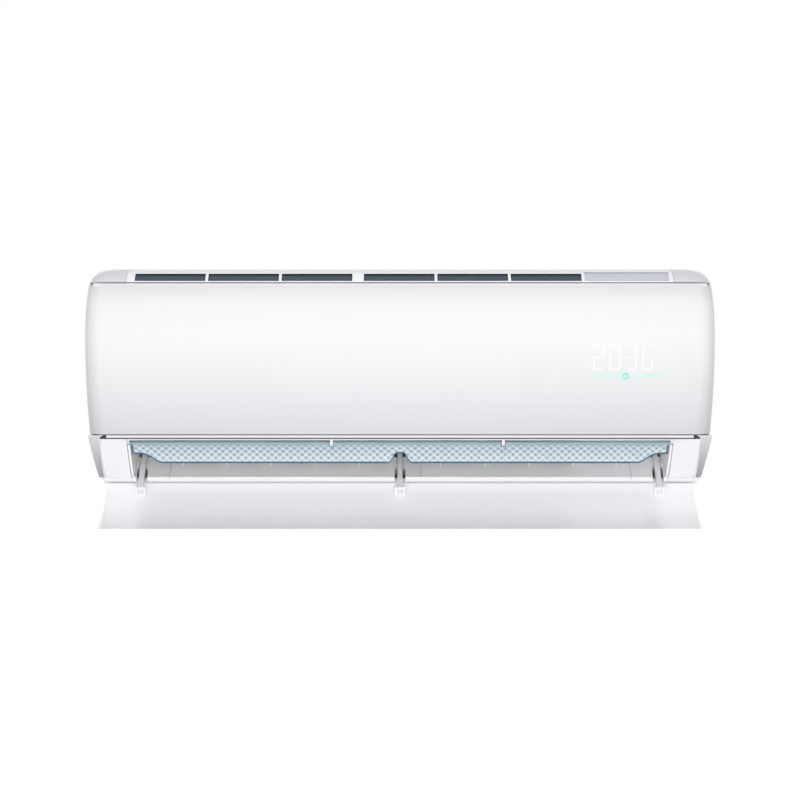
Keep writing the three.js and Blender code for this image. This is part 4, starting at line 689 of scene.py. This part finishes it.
def opened(points):
    """Points of the shut flap in its open place: turned about the hinge line by the opening angle,
    then carried out along the arms."""
    off = points[..., 1:] - HINGE_SHUT
    cos, sin = math.cos(FLAP_OPEN_ANGLE), math.sin(FLAP_OPEN_ANGLE)
    turned = np.stack([off[..., 0] * cos - off[..., 1] * sin, off[..., 0] * sin + off[..., 1] * cos], axis=-1)
    place = HINGE_SHUT + turned + ARM_OUT * ARM_TRAVEL
    return np.concatenate([points[..., :1], place], axis=-1)


def smooth_step(value):
    """0 below 0, 1 above 1 and 3v^2 - 2v^3 between."""
    v = np.clip(value, 0, 1)
    return v * v * (3 - 2 * v)


def flap_moulding():
    """The outer face is a cubic curve in Y and Z from the front edge down to the rear edge, drawn
    out along X. The inner face lies behind it by the wall's thickness, which is larger on the
    border and swells by exp(-r^2) round each arm. Rows and columns stand closer at the border."""
    t = np.concatenate([np.linspace(1, 0.9, 16), np.linspace(0.885, 0, 56)])[:, None]
    s = 1 - t
    curve = s**3 * FLAP_REAR + t**3 * FLAP_FRONT
    curve += 3 * s * s * t * (FLAP_REAR + FLAP_REAR_PULL) + 3 * s * t * t * (FLAP_FRONT + FLAP_FRONT_PULL)
    slope = np.gradient(curve, axis=0)
    slope /= np.linalg.norm(slope, axis=1)[:, None]
    inward = np.stack([-slope[:, 1], slope[:, 0]], axis=1)
    end, middle = np.linspace(FLAP_HALF_LENGTH, FLAP_HALF_LENGTH - 0.012, 25), FLAP_HALF_LENGTH - 0.018
    x = np.concatenate([-end, np.linspace(-middle, middle, 190), end[::-1]])
    from_front = np.concatenate([[0], np.cumsum(np.linalg.norm(np.diff(curve, axis=0), axis=1))])
    end_border = BORDER_END_REAR + (BORDER_END_FRONT - BORDER_END_REAR) * t
    from_end = FLAP_HALF_LENGTH - np.abs(x)[None] - end_border
    to_border = np.minimum(from_end, from_front[:, None] - BORDER_FRONT)
    border = 1 - smooth_step(to_border / BORDER_EDGE)
    wall = FLAP_FIELD + (FLAP_BORDER - FLAP_FIELD) * border
    for arm in (-ARM_OFFSET, 0, ARM_OFFSET):
        reach = ((x[None] - arm) / SWELL_ACROSS) ** 2 + ((curve[:, :1] - SWELL_MIDDLE) / SWELL_BACK) ** 2
        wall = wall + SWELL_HEIGHT * np.exp(-reach)
    outer = grid(x, curve[:, :1], curve[:, 1:])
    inner = outer.copy()
    inner[..., 1:] += inward[:, None] * wall[..., None]
    # The border and ahead marks also carry the painted highlight and the painted shade of the flap's colour.
    return shell(outer, inner), {"border": border, "ahead": t + 0 * wall}


def prism(outline, x0, x1):
    """A [y, z] outline, anticlockwise as seen from +X, drawn out from x0 to x1 and closed."""
    outline = np.asarray(outline, float)
    sides = len(outline)
    here = np.arange(sides)
    after = (here + 1) % sides
    points = np.concatenate([np.column_stack([np.full(sides, x), outline]) for x in (x0, x1)])
    walls = np.stack([here, after, after + sides, here + sides], axis=-1).tolist()
    return points, walls + [here[::-1].tolist(), (here + sides).tolist()]


def hinge_ear(x0, x1):
    """One rounded ear: five twelfths of a circle about the hinge line, on a foot that flares down
    to the flap's back."""
    turn = np.linspace(0, math.radians(150), 14)
    head = KNUCKLE_RADIUS * np.stack([np.cos(turn), np.sin(turn)], axis=-1)
    foot = np.array([(-0.0068, -0.003), (-0.0124, -0.0074), (0.0024, -0.0088)])
    return prism(HINGE_SHUT + np.concatenate([head, foot]), x0, x1)


flap_skin, flap_marks = flap_moulding()
flap_parts = [flap_skin]
for arm in (-ARM_OFFSET, 0, ARM_OFFSET):
    flap_parts.append(hinge_ear(arm - EAR_OUTSIDE, arm - EAR_INSIDE))
    flap_parts.append(hinge_ear(arm + EAR_INSIDE, arm + EAR_OUTSIDE))
flap = join_parts("outlet_flap_moulding", *((opened(points), faces) for points, faces in flap_parts))
mark_corners(flap, **flap_marks)
shade_by_angle(flap)
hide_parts("outlet_flap")


def gloss_white(name, colour, roughness=0.16):
    """White plastic under a clear gloss: a faint wave from moulding bends its reflections, and the
    tone drifts slightly towards blue."""
    look, tree, shader = new_look(name, colour, roughness, coat=0.6)
    place = place_scaled(tree)
    cool = (colour[0] * 0.975, colour[1] * 0.98, colour[2])
    colour_between(tree, shader, noise_over(tree, place, 5.0, 3), cool, colour)
    roughness_between(tree, shader, noise_over(tree, place, 1500.0, 2), roughness * 0.8, roughness * 1.3)
    emboss(tree, shader, noise_over(tree, place, 60.0, 2), 0.00006, 0.3)
    return look


flap_white = gloss_white("flap_white", (0.965, 0.965, 0.97))
# Painted shade greys the flap towards its front edge, and a painted highlight whitens its raised border.
paint_over(flap_white, marked(flap_white.node_tree, "ahead"), (0.93, 0.93, 0.94))
paint_over(flap_white, marked(flap_white.node_tree, "border"), (0.98, 0.98, 0.98))
settle(flap, flap_white, "flap")


# ---- Control box and boards ----
# A white tray at the right end holds the green circuit board behind a zinc cover with four screws;
# the mains terminals are on its side. A second small board lights the display.

DARK_GREY = (0.04, 0.043, 0.05)
BOARD_FACE = 0.0018
SCREW_RADIUS = 0.0034
SCREW_CROSS_WIDTH, SCREW_CROSS_LENGTH, SCREW_CROSS_DEPTH = 0.0009, 0.0042, 0.0009
SCREW_SEAT = 0.0002
SCREW_INSET_X, SCREW_INSET_Z = 0.006, 0.007

finish_cad(white_plastic, "control_box")
finish_cad(zinc, "control_box_cover")


def laminate(name, face_axis, face_place):
    """Green lacquered board with lighter copper tracks in a 2.5 mm grid. What stands off the face
    is dark plastic."""
    look, tree, shader = new_look(name, (0.03, 0.2, 0.09), 0.32)
    tracks = tree.nodes.new("ShaderNodeTexBrick")
    for socket, value in (("Scale", 1.0), ("Brick Width", 0.011), ("Row Height", 0.0025),
                          ("Mortar Size", 0.00022), ("Color1", (0.02, 0.17, 0.075, 1)),
                          ("Color2", (0.025, 0.2, 0.09, 1)), ("Mortar", (0.1, 0.38, 0.2, 1))):
        tracks.inputs[socket].default_value = value
    quarter = math.radians(90)
    turn = tree.nodes.new("ShaderNodeMapping")
    turn.inputs["Rotation"].default_value = (0, quarter, 0) if face_axis == "X" else (quarter, 0, 0)
    tree.links.new(place_scaled(tree), turn.inputs["Vector"])
    tree.links.new(turn.outputs[0], tracks.inputs["Vector"])
    tree.links.new(tracks.outputs["Color"], shader.inputs["Base Color"])
    paint_over(look, past(tree, face_axis, face_place, face_place + 0.0001), DARK_GREY)
    emboss(tree, shader, tracks.outputs["Fac"], 0.00004, 0.5)
    return look


finish_cad(laminate("board_green", "X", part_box("circuit_board")[0][0] + BOARD_FACE), "circuit_board")
finish_cad(laminate("display_board_green", "Y", 0.0), "display_board")


def screw_heads(places):
    """Domed heads with a cross slot that face the room: rings of a dome of radius SCREW_RADIUS and
    height SCREW_RADIUS / 2, whose middle is sunk by the cross."""
    rings, sides = 9, 32
    out = np.linspace(1, 0.02, rings)[:, None]
    turn = np.linspace(0, 2 * np.pi, sides, endpoint=False)[None]
    x = SCREW_RADIUS * out * np.cos(turn)
    z = SCREW_RADIUS * out * np.sin(turn)
    rise = 0.5 * SCREW_RADIUS * np.sqrt(1 - out**2 * 0.96)
    from_slot, from_middle = np.minimum(np.abs(x), np.abs(z)), np.maximum(np.abs(x), np.abs(z))
    cross = (from_slot < SCREW_CROSS_WIDTH / 2) & (from_middle < SCREW_CROSS_LENGTH / 2)
    head = grid(x, np.where(cross, SCREW_CROSS_DEPTH, 0) - rise, z)
    index = np.arange(rings * sides).reshape(rings, sides)
    after = np.roll(index, -1, axis=1)
    quads = np.stack([index[:-1], index[1:], after[1:], after[:-1]], axis=-1).reshape(-1, 4)
    faces = quads.tolist() + [index[-1].tolist()[::-1], index[0].tolist()]
    return [(head + np.array(place), faces) for place in places]


cover_low, cover_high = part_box("control_box_cover")
screw_columns = (cover_low[0] + SCREW_INSET_X, cover_high[0] - SCREW_INSET_X)
screw_rows = (cover_low[2] + SCREW_INSET_Z, cover_high[2] - SCREW_INSET_Z)
screw_places = [(x, cover_low[1] + SCREW_SEAT, z) for x in screw_columns for z in screw_rows]
cover_screws = join_parts("control_box_screws", *screw_heads(screw_places))
shade_by_angle(cover_screws)
settle(cover_screws, ground_steel, "body")


# ---- Filters and the frame behind the front panel ----
# Slate-blue woven nylon on slim ribs lies in two bays of a white frame whose lowest edge is painted dark as
# painted shade.
# Bright plated trim runs along under the panel.

FILTER_PITCH = 0.0016
THREAD_FLAT, THREAD_FOOT = FILTER_PITCH * 0.14, FILTER_PITCH * 0.24
FRAME_FOOT = -0.0793


def woven_filter(name, gap_colour, thread_colour):
    """Threads half a millimetre wide along each axis, with dark gaps sunk between them."""
    look, tree, shader = new_look(name, thread_colour, 0.6)

    def threads(axis):
        across = computed(tree, "PINGPONG", along(tree, axis), FILTER_PITCH / 2)
        return spread(tree, across, 1.0, 0.0, THREAD_FLAT, THREAD_FOOT)

    weave = largest(tree, [threads(axis) for axis in "XYZ"])
    colour_between(tree, shader, weave, gap_colour, thread_colour)
    emboss(tree, shader, weave, 0.0002, 0.6)
    return look


finish_cad(woven_filter("filter_weave", (0.05, 0.07, 0.1), (0.24, 0.3, 0.38)), "filter_left", "filter_right")
frame_plastic = moulded_plastic("front_frame_plastic", (0.84, 0.85, 0.86), 0.42)
# Painted shade: the frame's lowest edge is painted dark, for the shadow in the gap under the front panel.
paint_over(frame_plastic, past(frame_plastic.node_tree, "Z", FRAME_FOOT + 0.0001, FRAME_FOOT), DARK_GREY)
finish_cad(frame_plastic, "front_frame")

plating, plating_tree, plating_shader = new_look("bright_plating", (0.86, 0.87, 0.88), 0.14, metallic=1.0)
plating_wave = noise_over(plating_tree, place_scaled(plating_tree, (6, 200, 200)), 1.0, 3)
roughness_between(plating_tree, plating_shader, plating_wave, 0.1, 0.2)
emboss(plating_tree, plating_shader, plating_wave, 0.00004, 0.4)
finish_cad(plating, "chrome_strip")


# ---- Lower shade strip and outlet lip ----
# A dark strip closes the gap under the front panel, from side to side and round both corners; it is
# painted shade that gives the dark lines above and below the plated trim. A white lip stands along
# the outlet's upper edge.

HALF_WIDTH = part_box("front_panel")[1][0]
PANEL_FOOT, PANEL_TOP = -0.0795, 0.1246
PANEL_FRONT, PANEL_REAR = -0.205, -0.168
PANEL_CORNER = 0.024
BULGE_LEVEL = 0.056
FOOT_NARROWER, TOP_NARROWER = 0.0052, 0.0024
FOOT_SETBACK, TOP_SETBACK = 0.0105, 0.0176
SHADE_STRIP_TOP, SHADE_STRIP_FOOT, SHADE_STRIP_REAR = -0.0806, -0.0858, -0.176
SHADE_STRIP_INSETS = (0.0050, 0.0064)
LIP_LOW, LIP_HIGH = (-0.371, -0.1836, -0.0877), (0.371, -0.1822, -0.0858)


def panel_half_width(z):
    """Half of the covers' width at a height: it draws in by a square law above and below the bulge."""
    below = FOOT_NARROWER * ((BULGE_LEVEL - z) / (BULGE_LEVEL - PANEL_FOOT)) ** 2
    above = TOP_NARROWER * ((z - BULGE_LEVEL) / (PANEL_TOP - BULGE_LEVEL)) ** 2
    return HALF_WIDTH - np.where(z < BULGE_LEVEL, below, above)


def panel_face(z):
    """Where the covers' front lies at a height: a square law below the bulge, a power of 2.6 above."""
    up = np.maximum(z - BULGE_LEVEL, 0) / (PANEL_TOP - BULGE_LEVEL)
    down = (BULGE_LEVEL - z) / (BULGE_LEVEL - PANEL_FOOT)
    return PANEL_FRONT + np.where(z < BULGE_LEVEL, FOOT_SETBACK * down**2, TOP_SETBACK * up**2.6)


def plan_rows(heights, inset, rear):
    """One row of points per height: forward along the left side, round the corner by a quarter
    circle, across the front and back along the right side, all drawn in by the inset."""
    inset = np.broadcast_to(inset, heights.shape)[:, None]
    half = panel_half_width(heights)[:, None] - inset
    face = panel_face(heights)[:, None] + inset
    radius = PANEL_CORNER - inset
    turn = np.linspace(0, np.pi / 2, 16)[None]
    side = np.linspace(0, 1, 4)[None, :-1]
    corner_x = half - radius + radius * np.cos(turn)
    corner_y = face + radius - radius * np.sin(turn)
    side_y = rear + (face + radius - rear) * side
    front = np.linspace(-1, 1, 42)[None, 1:-1] * (half - radius)
    x = np.concatenate([-half + 0 * side_y, -corner_x, front, corner_x[:, ::-1], half + 0 * side_y], axis=1)
    y = np.concatenate([side_y, corner_y, face + 0 * front, corner_y[:, ::-1], side_y[:, ::-1]], axis=1)
    return grid(x, y, heights[:, None])


# Painted shade: this dark strip gives the dark lines above and below the plated trim and at its ends.
shade_strip_rows = [plan_rows(np.linspace(SHADE_STRIP_TOP, SHADE_STRIP_FOOT, 4), inset, SHADE_STRIP_REAR) for inset in SHADE_STRIP_INSETS]
shade_strip = join_parts("lower_shade_strip", shell(*shade_strip_rows))
shade_by_angle(shade_strip)
settle(shade_strip, dark_plastic, "body")


def block(low, high):
    """A closed box between two corners."""
    outline = [(low[1], low[2]), (high[1], low[2]), (high[1], high[2]), (low[1], high[2])]
    return prism(outline, low[0], high[0])


lip = join_parts("outlet_upper_lip", block(LIP_LOW, LIP_HIGH))
settle(lip, white_plastic, "body")


# ---- Intake net, and the seam over the front panel's top edge ----
# A fine net is stretched right behind the intake windows; its dark weave is painted shade for the
# shadow inside them. White foam closes the seam over the panel's bead, and two corner pieces close
# it beyond the bead's ends.

SLOPE_FOOT, SLOPE_PULL, SLOPE_TOP = np.array([(-0.1871, 0.1286), (-0.173, 0.149), (-0.150, 0.149)])
NET_LEFT, NET_RIGHT = -0.366, 0.249
NET_DEPTHS = (0.0036, 0.0042)
FOAM_LOW, FOAM_HIGH = (-0.4185, -0.1802, 0.1268), (0.4185, -0.1788, 0.1298)
CORNER_FOAM_NEAR, CORNER_FOAM_FAR = 0.0036, 0.0056
CORNER_FOAM_TOP, CORNER_FOAM_FOOT = 0.1283, 0.1251
CORNER_FOAM_TURN = (math.radians(30), math.radians(88))


def net_sheets():
    """The slope of the covers, a quadratic curve from the seam to the flat top, moved in along its
    normal by two depths and drawn out along X."""
    t = np.linspace(0.82, 0.02, 24)[:, None]
    curve = (1 - t) ** 2 * SLOPE_FOOT + 2 * t * (1 - t) * SLOPE_PULL + t**2 * SLOPE_TOP
    rise = 2 * (1 - t) * (SLOPE_PULL - SLOPE_FOOT) + 2 * t * (SLOPE_TOP - SLOPE_PULL)
    rise /= np.linalg.norm(rise, axis=1)[:, None]
    inward = np.stack([rise[:, 1], -rise[:, 0]], axis=1)
    for depth in NET_DEPTHS:
        place = curve + inward * depth
        yield grid(np.linspace(NET_LEFT, NET_RIGHT, 60), place[:, :1], place[:, 1:])


# Painted shade: the net's dark weave stands for the shadow inside the intake windows.
net = join_parts("intake_shade_net", shell(*net_sheets()))
shade_by_angle(net)
settle(net, woven_filter("net_shade_weave", (0.018, 0.024, 0.036), (0.085, 0.11, 0.15)), "body")


def corner_foam(side):
    """A quarter ring that follows the covers' corner, in plan, beyond the end of the bead: four
    arcs about one centre, and a face between each two that follow one another."""
    steps = 12
    turn = np.linspace(*CORNER_FOAM_TURN[::-side], steps)
    arcs = []
    for inset, z in ((CORNER_FOAM_NEAR, CORNER_FOAM_TOP), (CORNER_FOAM_NEAR, CORNER_FOAM_FOOT),
                     (CORNER_FOAM_FAR, CORNER_FOAM_FOOT), (CORNER_FOAM_FAR, CORNER_FOAM_TOP)):
        height = np.array([z])
        half, face = panel_half_width(height) - inset, panel_face(height) + inset
        radius = PANEL_CORNER - inset
        x = side * (half - radius + radius * np.sin(turn))
        arcs.append(grid(x, face + radius - radius * np.cos(turn), z))
    index = np.arange(4 * steps).reshape(4, steps)
    below = np.roll(index, -1, axis=0)
    band = np.stack([index[:, :-1], below[:, :-1], below[:, 1:], index[:, 1:]], axis=-1).reshape(-1, 4)
    ends = [index[::-1, 0].tolist(), index[:, -1].tolist()]
    if side < 0:
        band, ends = band[:, ::-1], [end[::-1] for end in ends]
    return np.concatenate(arcs), band.tolist() + ends


foam = join_parts("top_seam_foam", block(FOAM_LOW, FOAM_HIGH), corner_foam(-1), corner_foam(1))
shade_by_angle(foam)
settle(foam, white_plastic, "body")


# ---- Intake grille, side covers and silver trims ----
# Gloss-white covers above and beside the outlet; the grille has a blank, pale lilac insert at its
# right end. Two satin silver trims stand on the lower corners.

INSERT_MIDDLE = {"X": 0.3108, "Z": 0.1367}
INSERT_REACH = {"X": 0.0577, "Z": 0.0063}
INSERT_LILAC = (0.6, 0.61, 0.67)
END_PIECE_FOOT, END_PIECE_START = 0.127, 0.1285
END_PIECE_SHADE = (0.71, 0.715, 0.745)
TRIM_FOOT, TRIM_TOP = -0.14, -0.08

grille_white = gloss_white("grille_white", (0.94, 0.94, 0.945))
insert = [stripe(grille_white.node_tree, axis, INSERT_MIDDLE[axis], INSERT_REACH[axis]) for axis in "XZ"]
paint_over(grille_white, computed(grille_white.node_tree, "MULTIPLY", *insert), INSERT_LILAC)
finish_cad(grille_white, "intake_grille")

side_white = gloss_white("side_cover_white", (0.87, 0.875, 0.885))
# Painted shade: the side covers turn grey above END_PIECE_START.
paint_over(side_white, past(side_white.node_tree, "Z", END_PIECE_FOOT, END_PIECE_START), END_PIECE_SHADE)
finish_cad(side_white, "side_cover_left", "side_cover_right")

satin, satin_tree, satin_shader = new_look("satin_silver", (0.6, 0.61, 0.63), 0.36, metallic=0.85)
# Painted shade and reflection: the trims' colour runs from dark at their foot to light at their top.
trim_shade_rise = past(satin_tree, "Z", TRIM_FOOT, TRIM_TOP)
colour_between(satin_tree, satin_shader, trim_shade_rise, (0.36, 0.37, 0.39), (0.76, 0.77, 0.79))
satin_grain = noise_over(satin_tree, place_scaled(satin_tree, (2200, 2200, 60)), 1.0, 2)
roughness_between(satin_tree, satin_shader, satin_grain, 0.3, 0.42)
emboss(satin_tree, satin_shader, satin_grain, 0.00003, 0.4)
finish_cad(satin, "trim_left", "trim_right")


# ---- Front panel and its display ----
# One bulged gloss-white moulding that swings up about the bead along its top edge. At the right,
# faint plain figures and a pale green bar with a ring shine through its skin.

PANEL_WALL = 0.003
PANEL_EDGE = 0.0008
BEAD_PLACE = np.array((-0.1842, 0.1246))
BEAD_RADIUS = 0.0032
BEAD_END = 0.012
SHADE_START, TOP_SHADE_START = 0.06, 0.098
PANEL_SHADE = (0.572, 0.578, 0.603)
MARK_RISE, MARK_DEPTH = 0.00005, 0.0002
FIGURES = "2036"
FIGURES_LEFT, FIGURE_PITCH = 0.2625, 0.0222
FIGURE_FOOT, FIGURE_TOP = 0.0083, 0.0423
FIGURE_WIDTH, FIGURE_LINE, FIGURE_GAP = 0.0145, 0.0020, 0.0005
SEGMENTS_OF = {"2": "abged", "0": "abcdef", "3": "abgcd", "6": "acdefg"}
BAR_SPANS = ((0.2584, 0.2974), (0.3156, 0.3553))
BAR_HALF_HEIGHT = 0.0012
RING_MIDDLE, RING_OUTSIDE, RING_INSIDE = 0.3066, 0.0046, 0.0027


def panel_white():
    """Gloss white with painted shade that turns it towards a pale lilac grey: fully at the foot, by a
    power of 1.3 of the way down from SHADE_START, and by a third at the top edge."""
    look = gloss_white("panel_white", (0.822, 0.82, 0.813))
    tree = look.node_tree
    foot = computed(tree, "POWER", past(tree, "Z", SHADE_START, PANEL_FOOT), 1.3)
    top = computed(tree, "MULTIPLY", past(tree, "Z", TOP_SHADE_START, PANEL_TOP), 0.34)
    paint_over(look, computed(tree, "MAXIMUM", foot, top), PANEL_SHADE)
    return look


edge_steps = PANEL_EDGE * (1 - np.cos(np.linspace(0, np.pi / 2, 7)))
panel_heights = np.concatenate([[PANEL_TOP], np.linspace(PANEL_TOP - 0.0015, PANEL_FOOT + 0.0015, 96),
                                PANEL_FOOT + edge_steps[::-1]])
above_foot = np.minimum(panel_heights - PANEL_FOOT, PANEL_EDGE)
rounding = PANEL_EDGE - np.sqrt(PANEL_EDGE**2 - (PANEL_EDGE - above_foot) ** 2)
panel_skin = shell(*(plan_rows(panel_heights, inset, PANEL_REAR) for inset in (rounding, PANEL_WALL)))
bead_half = HALF_WIDTH - BEAD_END
bead = rods(BEAD_PLACE, BEAD_RADIUS, [(-bead_half, bead_half)], 32)
panel = join_parts("front_panel_moulding", panel_skin, *bead)
shade_by_angle(panel)
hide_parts("front_panel")
settle(panel, panel_white(), "panel")


def panel_mark(x0, x1, z0, z1):
    """A thin closed plate that follows the panel's front between two places and two heights."""
    x, z = np.linspace(x0, x1, 3), np.linspace(z1, z0, 7)[:, None]
    return shell(*(grid(x, panel_face(z) + depth, z) for depth in (-MARK_RISE, MARK_DEPTH)))


def panel_ring(x, outside, inside):
    """A flat closed ring on the panel's front at level 0: four loops, its two borders in front of
    the skin and then behind it."""
    steps = 40
    turn = np.linspace(0, 2 * np.pi, steps, endpoint=False)
    loops = []
    for radius, depth in zip((outside, inside, inside, outside), np.repeat((-MARK_RISE, MARK_DEPTH), 2)):
        z = radius * np.sin(turn)
        loops.append(grid(x + radius * np.cos(turn), panel_face(z) + depth, z))
    index = np.arange(4 * steps).reshape(4, steps)
    below, beside = np.roll(index, -1, axis=0), np.roll(index, -1, axis=1)
    corner = np.roll(below, -1, axis=1)
    return np.concatenate(loops), np.stack([index, beside, corner, below], axis=-1).reshape(-1, 4)


def figure(x, sign):
    """A seven-segment figure: the three level and four upright bars that the sign lights."""
    middle = (FIGURE_FOOT + FIGURE_TOP) / 2
    line, gap = FIGURE_LINE, FIGURE_GAP
    right = x + FIGURE_WIDTH
    bars = {
        "a": (x + line, right - line, FIGURE_TOP - line, FIGURE_TOP),
        "d": (x + line, right - line, FIGURE_FOOT, FIGURE_FOOT + line),
        "g": (x + line, right - line, middle - line / 2, middle + line / 2),
        "b": (right - line, right, middle + gap, FIGURE_TOP - gap),
        "c": (right - line, right, FIGURE_FOOT + gap, middle - gap),
        "e": (x, x + line, FIGURE_FOOT + gap, middle - gap),
        "f": (x, x + line, middle + gap, FIGURE_TOP - gap),
    }
    return [panel_mark(*bars[name]) for name in SEGMENTS_OF[sign]]


def faint_mark(name, colour, glow):
    """A translucent print that shines a little; fine dots of the light guide show in it."""
    look, tree, shader = new_look(name, colour, 0.2, coat=0.5)
    dots = noise_over(tree, place_scaled(tree), 1800.0, 1)
    colour_between(tree, shader, dots, *shades_of(colour, 1, 1.04))
    shader.inputs["Emission Color"].default_value = (*colour, 1)
    shader.inputs["Emission Strength"].default_value = glow
    return look


figure_bars = [bar for i, sign in enumerate(FIGURES) for bar in figure(FIGURES_LEFT + FIGURE_PITCH * i, sign)]
figures = join_parts("display_figures", *figure_bars)
settle(figures, faint_mark("figure_print", (0.815, 0.817, 0.82), 0.005), "panel")
bar = join_parts("display_bar", *(panel_mark(*span, -BAR_HALF_HEIGHT, BAR_HALF_HEIGHT) for span in BAR_SPANS))
settle(bar, faint_mark("bar_print", (0.46, 0.79, 0.69), 0.05), "panel")
ring = join_parts("display_ring", panel_ring(RING_MIDDLE, RING_OUTSIDE, RING_INSIDE))
settle(ring, faint_mark("ring_print", (0.07, 0.76, 0.58), 0.05), "panel")
